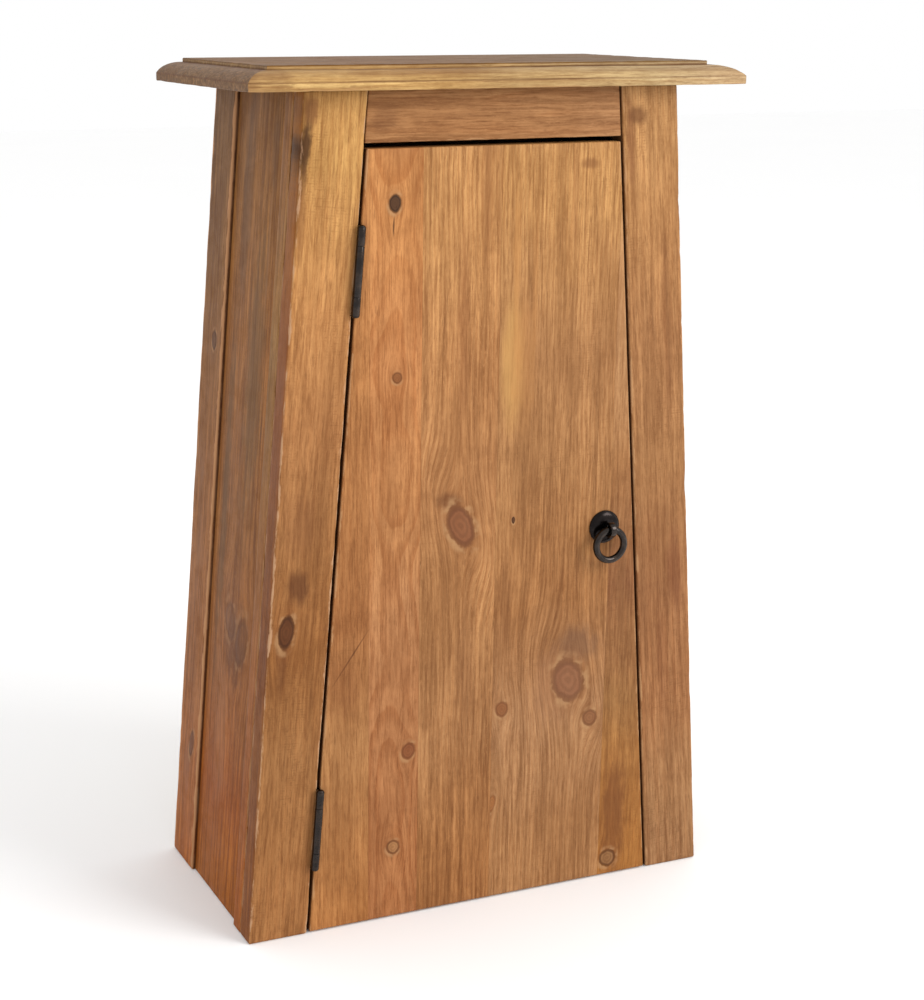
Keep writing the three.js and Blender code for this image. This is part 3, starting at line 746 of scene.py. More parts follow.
@dataclass(frozen=True)
class Pine:
    """A waxed pine finish for one board."""

    name: str
    tones: tuple[tuple[float, Rgb], ...]
    pith: tuple[float, float] = (60.0, 30.0)
    ring: float = 5.0
    wander: float = 26.0
    seed: float = 1.0
    late: float = 0.55
    streak: float = 0.6
    saw: float = 0.5
    rubbed: float = 0.7
    rubbed_tone: Rgb = (212, 160, 112)
    rubbed_width: float = 1.6
    rubbed_least: float = 0.1
    joints: tuple[float, float] = (1.0, 1.0)
    flank: tuple[float, float, float] = (0.85, 0.76, 0.62)
    gain: float = 0.66
    sheen: float = 0.5
    knots: tuple[Knot, ...] = ()
    patches: tuple[Patch, ...] = ()
    # Places across the board, in millimetres, where a thin dark line of painted shade is drawn
    # along a crease.
    crease_shade_lines: tuple[float, ...] = ()
    end_span: tuple[float, float] = (0.0, 0.0)
    end_tone: Rgb = (112, 80, 52)

    def make(self, timber: Timber, spans: tuple[float, float, float, float],
             sides: tuple[tuple[float, float, float], ...] = ()) -> bpy.types.Material:
        """Makes the material.

        Args:
            timber: the board's grain axes.
            spans: lowest and highest across, then lowest and highest depth, in millimetres.
            sides: planes of the two long sides, where they aren't square to the board.

        Returns:
            The material.
        """
        material, tree, shader, where = new_material(self.name)
        own = timber.seat(tree, where)
        grown, figures = self.grow(tree, timber, own)
        grain = tree.place(GRAIN, Vector=grown, Pith_Across=self.pith[0],
                           Pith_Depth=self.pith[1], Ring=self.ring, Wander=self.wander,
                           Seed=self.seed).outputs
        marks = tree.place(SAW, Vector=own, Pitch=SAW_PITCH_MM, Seed=self.seed).outputs["Mark"]
        if not sides:
            sides = ((-1.0, 0.0, -spans[0]), (1.0, 0.0, spans[1]))
        edges = tree.place(WEAR, Vector=own, Side_One=sides[0], Side_Two=sides[1],
                           Front=spans[2], Back=spans[3], Width=self.rubbed_width,
                           Joint_One=self.joints[0], Joint_Two=self.joints[1],
                           Least=self.rubbed_least).outputs

        body = self.ground(tree, timber, where, own)
        flank = tree.mix(1.0, body, self.flank + (1.0,), "MULTIPLY")
        body = tree.mix(edges["Flank"], body, flank)
        pale = tree.mix(1.0, body, PALE_WOOD, "MULTIPLY")
        dark = tree.mix(1.0, body, DARK_WOOD, "MULTIPLY")
        wash = tree.smooth(grain["Streak"], 0.37, 0.64)
        color = tree.mix(tree.maths("MULTIPLY", wash, self.streak), pale,
                         tree.mix(0.62, body, dark))
        late = tree.maths("MULTIPLY", grain["Late"], self.late)
        color = tree.mix(late, color, tree.mix(1.0, color, LATE_WOOD, "MULTIPLY"))
        thread_mask = tree.smooth(grain["Fibre"], 0.4, 0.68)
        thread = tree.ramp(thread_mask, [(0.0, PALE_THREAD), (1.0, DARK_THREAD)])
        color = tree.mix(1.0, color, thread, "MULTIPLY")
        tick = tree.maths("MULTIPLY", tree.smooth(grain["Tick"], 0.54, 0.64), 0.42)
        color = tree.mix(tick, color, tree.mix(0.5, color, dark))
        fleck = tree.maths("MULTIPLY", tree.fade(grain["Tick"], 0.33, 0.43), 0.4)
        color = tree.mix(fleck, color, pale)
        color = tree.mix(tree.maths("MULTIPLY", grain["Pore"], 0.34), color, linear(RESIN_TONE))
        mottle = tree.smooth(tree.noise(own, 42.0, 5.0, 0.7, 0.4), 0.4, 0.72)
        color = tree.mix(tree.maths("MULTIPLY", mottle, 0.3), color, dark)
        cloud = tree.noise(tree.vectors("MULTIPLY", own, (22.0, 22.0, 6.0)), 1.0, 4.0, 0.6, 0.3)
        color = tree.mix(tree.maths("MULTIPLY", tree.smooth(cloud, 0.42, 0.66), 0.34), color, dark)
        color = tree.mix(tree.maths("MULTIPLY", marks, 0.42 * self.saw), color, dark)

        color = self.stain(tree, timber, own, color, grain["Fibre"])
        color = self.end_grain(tree, own, color, spans[2])
        # Painted shade: thin dark lines drawn along the moulding's creases, broken up by the
        # streaks.
        for crease_shade_at in self.crease_shade_lines:
            off = tree.maths("ABSOLUTE", tree.maths("SUBTRACT", tree.maths(
                "DIVIDE", tree.split(own)[0], MM), crease_shade_at))
            crease_shade = tree.maths("MULTIPLY", tree.fade(off, 0.25, 1.0),
                              tree.smooth(grain["Streak"], 0.25, 0.6))
            color = tree.mix(tree.maths("MULTIPLY", crease_shade, 0.75), color, linear(CREASE_SHADE_TONE))
        relief = tree.maths("MULTIPLY", late, 0.5)
        color, relief = self.spot(tree, figures, thread_mask, color, relief)
        worn = tree.maths("MULTIPLY", edges["Rubbed"], self.rubbed)
        color = tree.mix(worn, color, linear(self.rubbed_tone, self.gain))
        # Painted shade with dirt on the walls deep inside the joint gaps.
        color = tree.mix(tree.maths("MULTIPLY", edges["Joint Shade Dirt"], 0.8), color, linear(JOINT_SHADE_DIRT_TONE))
        tree.feed(shader.inputs["Base Color"], color)

        rough = tree.maths("MULTIPLY_ADD", grain["Fibre"], 0.16, 0.9 - self.sheen)
        rough = tree.maths("ADD", rough, tree.maths("MULTIPLY", mottle, 0.1))
        rough = tree.maths("ADD", rough, tree.maths("MULTIPLY", worn, 0.18), clamp=True)
        tree.feed(shader.inputs["Roughness"], rough)
        shader.inputs["Specular IOR Level"].default_value = WOOD_SPECULAR
        relief = tree.maths("ADD", relief, tree.maths("MULTIPLY", grain["Fibre"], 0.55))
        relief = tree.maths("ADD", relief, tree.maths("MULTIPLY", grain["Pore"], -0.7))
        relief = tree.maths("ADD", relief, tree.maths("MULTIPLY", marks, -0.55 * self.saw))
        bump = tree.add("ShaderNodeBump")
        bump.inputs["Strength"].default_value = 0.5
        bump.inputs["Distance"].default_value = WOOD_BUMP_MM * MM
        tree.feed(bump.inputs["Height"], relief)
        tree.feed(shader.inputs["Normal"], bump.outputs[0])
        return material

    def grow(self, tree: Tree, timber: Timber, own: Socket) -> tuple[Socket, list]:
        """Bends the grain round the knots.

        Args:
            tree: the material's tree.
            timber: the board's grain axes.
            own: the board's own coordinates.

        Returns:
            The bent coordinates, and each knot with its masks.
        """
        grown = own
        figures = []
        for knot in self.knots:
            across, up = timber.mark(knot.across, knot.up)
            figure = tree.place(KNOT, Vector=own, Across=across, Up=up, Wide=knot.wide,
                                Tall=knot.tall, Tilt=knot.tilt)
            bend = tree.vectors("SUBTRACT", figure.outputs["Vector"], own)
            grown = tree.vectors("ADD", grown, bend)
            figures.append((knot, figure.outputs))
        return grown, figures

    def ground(self, tree: Tree, timber: Timber, where: Socket, own: Socket) -> Socket:
        """Lays the body tone, which changes along the board.

        Args:
            tree: the material's tree.
            timber: the board's grain axes.
            where: the object coordinates.
            own: the board's own coordinates.

        Returns:
            The colour.
        """
        axis = 0 if timber.run is Run.LEVEL else 2
        start = -DEPTH_MM * MM if axis == 0 else FOOT
        place = tree.split(where)[axis]
        place = tree.maths("DIVIDE", tree.maths("SUBTRACT", place, start), HEIGHT_MM * MM)
        drift = tree.noise(own, 14.0, 3.0, 0.6)
        place = tree.maths("ADD", place, tree.maths("MULTIPLY_ADD", drift, 0.16, -0.08))
        stops = [(max(0.0, min(1.0, at / HEIGHT_MM)), linear(tone, self.gain))
                 for at, tone in self.tones]
        return tree.ramp(place, stops)

    def stain(self, tree: Tree, timber: Timber, own: Socket, color: Socket,
              fibre: Socket) -> Socket:
        """Adds the stains and pale streaks.

        Args:
            tree: the material's tree.
            timber: the board's grain axes.
            own: the board's own coordinates.
            color: the colour so far.
            fibre: the fibre mask, which breaks them up.

        Returns:
            The stained colour.
        """
        for patch in self.patches:
            across, up = timber.mark(patch.across, patch.up)
            mask = tree.place(PATCH, Vector=own, Across=across, Up=up, Wide=patch.wide,
                              Tall=patch.tall, Tilt=patch.tilt, Break=patch.broken).outputs[0]
            stain = tree.mix(tree.maths("MULTIPLY", fibre, 0.5), linear(patch.tone, self.gain),
                             tree.mix(1.0, color, linear(patch.tone, 1.6), "MULTIPLY"))
            color = tree.mix(tree.maths("MULTIPLY", mask, patch.force), color, stain)
        return color

    def spot(self, tree: Tree, figures: list, thread: Socket, color: Socket,
             relief: Socket) -> tuple[Socket, Socket]:
        """Colours the knots and raises them.

        Args:
            tree: the material's tree.
            figures: each knot with its masks.
            thread: the mask of the dark threads.
            color: the colour so far.
            relief: the height so far.

        Returns:
            The colour and the height with the knots in.
        """
        for knot, masks in figures:
            halo = tree.maths("MULTIPLY", masks["Halo"], 0.34 * knot.force)
            color = tree.mix(halo, color, linear(HALO_TONE, self.gain))
            core = tree.mix(masks["Figure"], linear(knot.core, self.gain),
                            linear(tuple(int(c * 0.88) for c in knot.core), self.gain))
            core = tree.mix(tree.maths("MULTIPLY", thread, 0.5), core, linear(knot.rim))
            color = tree.mix(tree.maths("MULTIPLY", masks["Core"], 0.86 * knot.force), color, core)
            color = tree.mix(tree.maths("MULTIPLY", masks["Rim"], 0.72 * knot.force), color,
                             linear(knot.rim, self.gain))
            color = tree.mix(tree.maths("MULTIPLY", masks["Collar"], 0.55 * knot.force), color,
                             linear(COLLAR_TONE, self.gain))
            relief = tree.maths("ADD", relief, tree.maths("MULTIPLY", masks["Rim"], -0.8))
            relief = tree.maths("ADD", relief, tree.maths("MULTIPLY", masks["Core"], 0.5))
        return color, relief

    def end_grain(self, tree: Tree, own: Socket, color: Socket, front: float) -> Socket:
        """Darkens the sawn ends of a board outside its mitres.

        Args:
            tree: the material's tree.
            own: the board's own coordinates.
            color: the colour so far.
            front: the board's least depth in millimetres.

        Returns:
            The colour with its ends darkened.
        """
        low, high = self.end_span
        if high <= low:
            return color
        _, deep, along = tree.split(tree.vectors("DIVIDE", own, (MM, MM, MM)))
        end = tree.maths("MINIMUM", tree.maths("SUBTRACT", along, low),
                         tree.maths("SUBTRACT", high, along))
        past = tree.maths("SUBTRACT", tree.maths("SUBTRACT", deep, front), end)
        mask = tree.maths("MULTIPLY", tree.smooth(past, -0.6, 0.6), tree.fade(end, 20.5, 22.5))
        speck = tree.noise(own, 480.0, 4.0, 0.75)
        sawn = tree.ramp(speck, [(0.36, linear(SAWN_DARK_TONE)),
                                 (0.52, linear(self.end_tone)), (0.66, linear(SAWN_PALE_TONE))])
        return tree.mix(tree.maths("MULTIPLY", mask, 0.9), color, sawn)


@dataclass(frozen=True)
class Metal:
    """A tarnished or plated metal finish."""

    name: str
    base: Rgb
    rubbed: Rgb
    rough: float = 0.4
    hammer: float = 0.5
    metallic: float = 1.0
    grain: float = 1.0
    coat: float = 0.0

    def make(self) -> bpy.types.Material:
        """Makes the material and returns it."""
        material, tree, shader, where = new_material(self.name)
        scuffs = tree.place(SCUFF, Vector=where, Scale=420.0 * self.grain).outputs
        color = tree.mix(tree.maths("MULTIPLY", scuffs["Patch"], 0.65), linear(self.base),
                         linear(self.rubbed))
        color = tree.mix(tree.maths("MULTIPLY", scuffs["Speck"], 0.3), color,
                         linear(tuple(int(c * 0.55) for c in self.base)))
        tree.feed(shader.inputs["Base Color"], color)
        rough = tree.maths("MULTIPLY_ADD", scuffs["Speck"], 0.22, self.rough)
        rough = tree.maths("MULTIPLY_ADD", scuffs["Patch"], -0.1, rough)
        tree.feed(shader.inputs["Roughness"], rough)
        shader.inputs["Metallic"].default_value = self.metallic
        shader.inputs["Coat Weight"].default_value = self.coat
        shader.inputs["Coat Roughness"].default_value = 0.16
        bump = tree.add("ShaderNodeBump")
        bump.inputs["Strength"].default_value = 0.35 * self.hammer
        bump.inputs["Distance"].default_value = METAL_BUMP_MM * MM
        height = tree.maths("ADD", scuffs["Hammer"], tree.maths("MULTIPLY", scuffs["Speck"], 0.2))
        tree.feed(bump.inputs["Height"], height)
        tree.feed(shader.inputs["Normal"], bump.outputs[0])
        return material


BRONZE = Metal("dark_bronze", (27, 20, 16), (62, 47, 36), 0.24, coat=0.5)
OLD_STEEL = Metal("dark_rose", (22, 17, 16), (40, 33, 31), 0.32, coat=0.15)
ZINC = Metal("zinc_steel", (168, 170, 172), (196, 198, 198), 0.34, 0.25)
PLASTIC = Metal("catch_plastic", (104, 72, 48), (118, 84, 58), 0.45, 0.1, 0.0, 0.5)


def to_mesh(work: bmesh.types.BMesh, name: str) -> bpy.types.Mesh:
    """Turns finished work into a mesh and frees the work.

    Args:
        work: the finished mesh being edited.
        name: the mesh's name.

    Returns:
        The mesh.
    """
    mesh = bpy.data.meshes.new(name)
    work.to_mesh(mesh)
    work.free()
    return mesh


def finish_piece(name: str, mesh: bpy.types.Mesh, material: bpy.types.Material, body: str,
                 slot: str, *nodes: str) -> bpy.types.Object:
    """Puts a finished mesh in the scene on its body, and hides the frame nodes it replaces.

    Args:
        name: the piece's name.
        mesh: its mesh, in place.
        material: its finish.
        body: the body it rides on.
        slot: not used.
        nodes: the frame nodes it replaces.

    Returns:
        The new object.
    """
    piece = bpy.data.objects.new(name, mesh)
    bpy.context.scene.collection.objects.link(piece)
    mesh.materials.append(material)
    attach(piece, body)
    if nodes:
        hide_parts(*nodes)
    LOG.info("%s: %d faces on %s", name, len(mesh.polygons), body)
    return piece


def copy_of(node: str) -> bmesh.types.BMesh:
    """Copies a frame node's solid with its loose triangles joined into flat faces.

    Args:
        node: the frame node.

    Returns:
        The copy.
    """
    work = bmesh.new()
    work.from_mesh(frame["nodes"][node].data)
    bmesh.ops.remove_doubles(work, verts=work.verts, dist=WELD)
    bmesh.ops.dissolve_limit(work, angle_limit=FLAT_ANGLE, verts=work.verts,
                             edges=work.edges, use_dissolve_boundaries=False)
    return work


def cut(work: bmesh.types.BMesh, point: Vector, normal: Vector) -> None:
    """Cuts a mesh's faces along a plane without parting it."""
    geometry = work.verts[:] + work.edges[:] + work.faces[:]
    bmesh.ops.bisect_plane(work, geom=geometry, dist=1e-7, plane_co=point, plane_no=normal)


def shade(work: bmesh.types.BMesh, limit: float = 34.0) -> None:
    """Smooths rounded faces and keeps flat ones flat.

    Args:
        work: the mesh.
        limit: angle in degrees past which an edge stays sharp.
    """
    for face in work.faces:
        face.smooth = True
    for edge in work.edges:
        if len(edge.link_faces) == 2:
            edge.smooth = edge.calc_face_angle(0.0) < math.radians(limit)


LONG_EDGE_MM = 11.0
CORNER_ANGLE = math.radians(35)
BESIDE_CORNER_MM = 3.5
WIDE_ENOUGH_MM = 9.0
WEAR_REACH_MM = 3.0
CHIP_REACH_MM = 7.0


@dataclass
class Board:
    """One sawn board, worn at its corners."""

    node: str
    body: str
    slot: str
    run: Run
    finish: Pine
    foot_mm: tuple[float, float, float] = (0.0, 0.0, 0.0)
    soften_mm: float = 1.2
    chip_mm: float = 0.55
    step_mm: float = 9.0
    tight_x: tuple[float, ...] = ()
    leaning: bool = False
    chips: tuple[tuple[float, float, float, float], ...] = ()

    def timber(self) -> Timber:
        """Returns the board's grain axes."""
        x, y, z = self.foot_mm
        return Timber(self.run, Vector((x * MM, FRONT + y * MM, FOOT + z * MM)))

    def spans(self, work: bmesh.types.BMesh) -> tuple[float, float, float, float, float, float]:
        """Returns the board's lowest and highest across, depth and length in its own axes."""
        timber = self.timber()
        own = [timber.local(vert.co) for vert in work.verts]
        ends: list[float] = []
        for axis in range(3):
            values = [point[axis] for point in own]
            ends += [min(values), max(values)]
        return tuple(ends)

    def is_tight(self, edge: bmesh.types.BMEdge) -> bool:
        """Tells whether an edge is glued close to the next board."""
        return any(all(abs(vert.co.x / MM - x) < 0.4 for vert in edge.verts)
                   for x in self.tight_x)

    def soften(self, work: bmesh.types.BMesh) -> None:
        """Rounds the long corners that hands and tools reach."""
        edges = [edge for edge in work.edges
                 if len(edge.link_faces) == 2 and edge.is_convex
                 and edge.calc_face_angle(0.0) > CORNER_ANGLE
                 and edge.calc_length() > LONG_EDGE_MM * MM and not self.is_tight(edge)]
        if edges:
            bmesh.ops.bevel(work, geom=edges, offset=self.soften_mm * MM, offset_type="OFFSET",
                            segments=3, profile=0.5, affect="EDGES", material=-1,
                            clamp_overlap=False)

    def slice(self, work: bmesh.types.BMesh, spans: tuple[float, ...]) -> None:
        """Cuts the board crosswise, and beside its corners, so that they can wear.

        Args:
            work: the mesh.
            spans: the board's reach in its own axes.
        """
        timber = self.timber()
        turn = timber.turn()
        for axis in (0, 1):
            for end, inward in ((spans[2 * axis], 1.0), (spans[2 * axis + 1], -1.0)):
                place = Vector((0.0, 0.0, 0.0))
                place[axis] = (end + inward * BESIDE_CORNER_MM) * MM
                if spans[2 * axis + 1] - spans[2 * axis] > WIDE_ENOUGH_MM:
                    cut(work, timber.foot + turn @ place, turn.col[axis])
        low, high = spans[4], spans[5]
        steps = max(2, int((high - low) / self.step_mm))
        for index in range(1, steps):
            along = low + (high - low) * index / steps
            cut(work, timber.foot + turn @ Vector((0.0, 0.0, along * MM)), turn.col[2])

    def wear(self, work: bmesh.types.BMesh, spans: tuple[float, ...]) -> None:
        """Dents and rubs the long corners inwards, never outwards.

        Args:
            work: the mesh.
            spans: the board's reach in its own axes.
        """
        timber = self.timber()
        work.normal_update()
        for vert in work.verts:
            own = timber.local(vert.co)
            side = max(0.0, min(own.x - spans[0], spans[1] - own.x))
            deep = max(0.0, min(own.y - spans[2], spans[3] - own.y))
            reach = math.hypot(side, deep)
            if reach > WEAR_REACH_MM or any(abs(vert.co.x / MM - x) < 1.5 for x in self.tight_x):
                continue
            spot = Vector((own.x * 0.05, own.y * 0.05, own.z * 0.03 + self.finish.seed * 9.1))
            amount = max(0.0, noise.noise(spot)) * 1.1
            amount += max(0.0, noise.noise(spot * 6.0) - 0.1) * 0.9
            bite = self.chip_mm * amount
            for across, up, half, depth in self.chips:
                if abs(own.x - across) < CHIP_REACH_MM:
                    near = 1.0 - abs(own.z - up) / half
                    rough = 0.7 + 0.6 * noise.noise(spot * 11.0)
                    bite += max(0.0, near) * depth * rough
            vert.co -= vert.normal * (bite * (1.0 - reach / WEAR_REACH_MM) * MM)

    def side_planes(self, spans: tuple[float, ...]) -> tuple[tuple[float, float, float], ...]:
        """Returns the planes of an upright board's leaning door sides."""
        if not self.leaning:
            return ()
        cosine, sine = math.cos(LEAN), math.sin(LEAN)
        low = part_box("door_board_1")[0]
        left = Vector((low.x, 0.0, low.z))
        height = (low.z - FOOT) / MM
        reach = -left.x / MM * cosine + height * sine
        return ((-cosine, sine, reach), (cosine, sine, reach))

    def build(self) -> bpy.types.Object:
        """Makes the board and returns it."""
        work = copy_of(self.node)
        spans = self.spans(work)
        self.soften(work)
        self.slice(work, spans)
        self.wear(work, spans)
        shade(work)
        mesh = to_mesh(work, self.node + "_wood")
        material = self.finish.make(self.timber(), spans[:4], self.side_planes(spans))
        return finish_piece(self.node + "_wood", mesh, material, self.body, self.slot, self.node)


RIGHT_SIDE_TONES = ((20, (180, 120, 70)), (150, (181, 121, 70)), (300, (177, 119, 68)),
                    (450, (174, 120, 70)), (600, (172, 120, 70)))
DOOR_TONES = {
    1: ((0, (198, 134, 77)), (150, (189, 134, 83)), (250, (173, 114, 67)), (340, (186, 126, 75)),
        (600, (205, 140, 82))),
    2: ((50, (188, 125, 77)), (150, (185, 125, 79)), (250, (195, 136, 88)),
        (350, (199, 137, 84)), (450, (209, 142, 87)), (560, (210, 144, 85))),
    3: ((50, (185, 127, 76)), (150, (187, 134, 86)), (250, (194, 139, 88)),
        (350, (198, 141, 90)), (450, (202, 144, 90)), (560, (216, 159, 99))),
    4: ((50, (192, 139, 90)), (150, (193, 143, 98)), (250, (181, 126, 77)),
        (350, (189, 136, 86)), (450, (197, 143, 92)), (560, (213, 158, 97))),
    5: ((50, (195, 133, 69)), (150, (167, 118, 70)), (250, (156, 105, 67)),
        (350, (180, 127, 79)), (450, (207, 155, 105)), (560, (215, 161, 107))),
}


@dataclass
class Door:
    """The tapered door, glued from five boards."""

    body: str = "door"
    joints_mm: tuple[float, ...] = (-101.0, -59.0, 5.0, 106.0)

    def finishes(self) -> dict[int, Pine]:
        """Returns the finish of each board, counted from the left."""
        tones = DOOR_TONES
        return {
            1: Pine("door_pine_1", tones[1], (90.0, 24.0), 5.5, 16.0, 1.0, 0.3, 0.45, 0.5,
                    patches=(Patch(-116, 222, 0.8, 30, (104, 60, 34), 0.7, 0.62, 0.3),
                             Patch(-122, 200, 18, 26, (150, 96, 56), 0.35))),
            2: Pine("door_pine_2", tones[2], (-81.0, 22.0), 4.6, 52.0, 2.0, 0.62, 0.4, 0.25,
                    knots=(Knot(-81.5, 562.5, 4.4, 6.2, 0.1, (58, 40, 32), (34, 24, 20)),
                           Knot(-79, 435, 3.6, 4.0, 0.0, (150, 92, 52), (104, 62, 34), 0.8),
                           Knot(-67.5, 139, 5, 6.5, 0.3, (150, 88, 54), (112, 62, 36), 0.85),
                           Knot(-80, 60, 5, 5.5, 0.0, (196, 142, 92), (104, 62, 36), 0.9)),
                    patches=(Patch(-82.5, 546, 0.8, 9, (70, 42, 30), 0.8, 0.05, 0.4),
                             Patch(-80, 610, 20, 30, (198, 140, 86), 0.35))),
            3: Pine("door_pine_3", tones[3], (60.0, 34.0), 3.6, 20.0, 3.0, 0.5, 0.85, 0.45,
                    knots=(Knot(-25, 316, 9.5, 16.0, -0.42, (152, 96, 64), (118, 72, 46)),
                           Knot(-60, 290, 1.2, 3.5, 0.0, (70, 42, 28), (60, 36, 24))),
                    patches=(Patch(-34, 336, 15, 8, (122, 80, 50), 0.7, 0.2),
                             Patch(-40, 322, 3, 14, (204, 156, 108), 0.6),
                             Patch(-25, 470, 6, 90, (160, 108, 66), 0.45),
                             Patch(-8, 560, 5, 60, (168, 116, 70), 0.4),
                             Patch(-20, 200, 9, 60, (150, 104, 66), 0.4))),
            4: Pine("door_pine_4", tones[4], (150.0, 40.0), 3.4, 22.0, 4.0, 0.48, 0.8, 0.7,
                    knots=(Knot(72.5, 177.5, 12.5, 16.5, -0.35, (158, 106, 76), (124, 80, 54), 0.9),
                           Knot(93.5, 142.5, 6, 6.5, 0.0, (150, 96, 62), (118, 74, 46), 0.85),
                           Knot(13.5, 161.5, 5, 6, 0.0, (158, 98, 58), (122, 72, 42), 0.8),
                           Knot(20, 316, 1.3, 2.6, 0.0, (78, 46, 30), (60, 36, 24)),
                           Knot(6, 82, 3, 7, 0.2, (178, 112, 60), (140, 84, 46), 0.7)),
                    patches=(Patch(16, 440, 12, 58, (220, 172, 106), 0.85, 0.0, 0.5),
                             Patch(26, 440, 12, 60, (206, 152, 94), 0.55),
                             Patch(18, 520, 4, 60, (210, 156, 94), 0.55),
                             Patch(34, 500, 3, 70, (204, 150, 92), 0.4),
                             Patch(80, 206, 24, 20, (134, 100, 76), 0.6),
                             Patch(60, 176, 26, 38, (186, 140, 102), 0.45),
                             Patch(14, 245, 6, 46, (140, 94, 56), 0.55),
                             Patch(78, 586, 10, 5, (150, 104, 62), 0.7),
                             Patch(66, 560, 3, 50, (160, 110, 66), 0.45))),
            5: Pine("door_pine_5", tones[5], (170.0, 40.0), 4.0, 22.0, 5.0, 0.45, 0.6, 0.6,
                    knots=(Knot(115, 15, 7, 7, 0.0, (176, 128, 84), (96, 58, 32)),),
                    patches=(Patch(119, 52, 15, 66, (132, 84, 48), 0.75),
                             Patch(118, 250, 7, 60, (142, 98, 60), 0.5))),
        }

    def build(self) -> None:
        """Makes the five boards."""
        for number, finish in self.finishes().items():
            tight = self.joints_mm[max(0, number - 2):number]
            Board(f"door_board_{number}", self.body, "door_pine", Run.UPRIGHT, finish,
                  tight_x=tight, leaning=True, step_mm=7.0, soften_mm=1.0).build()


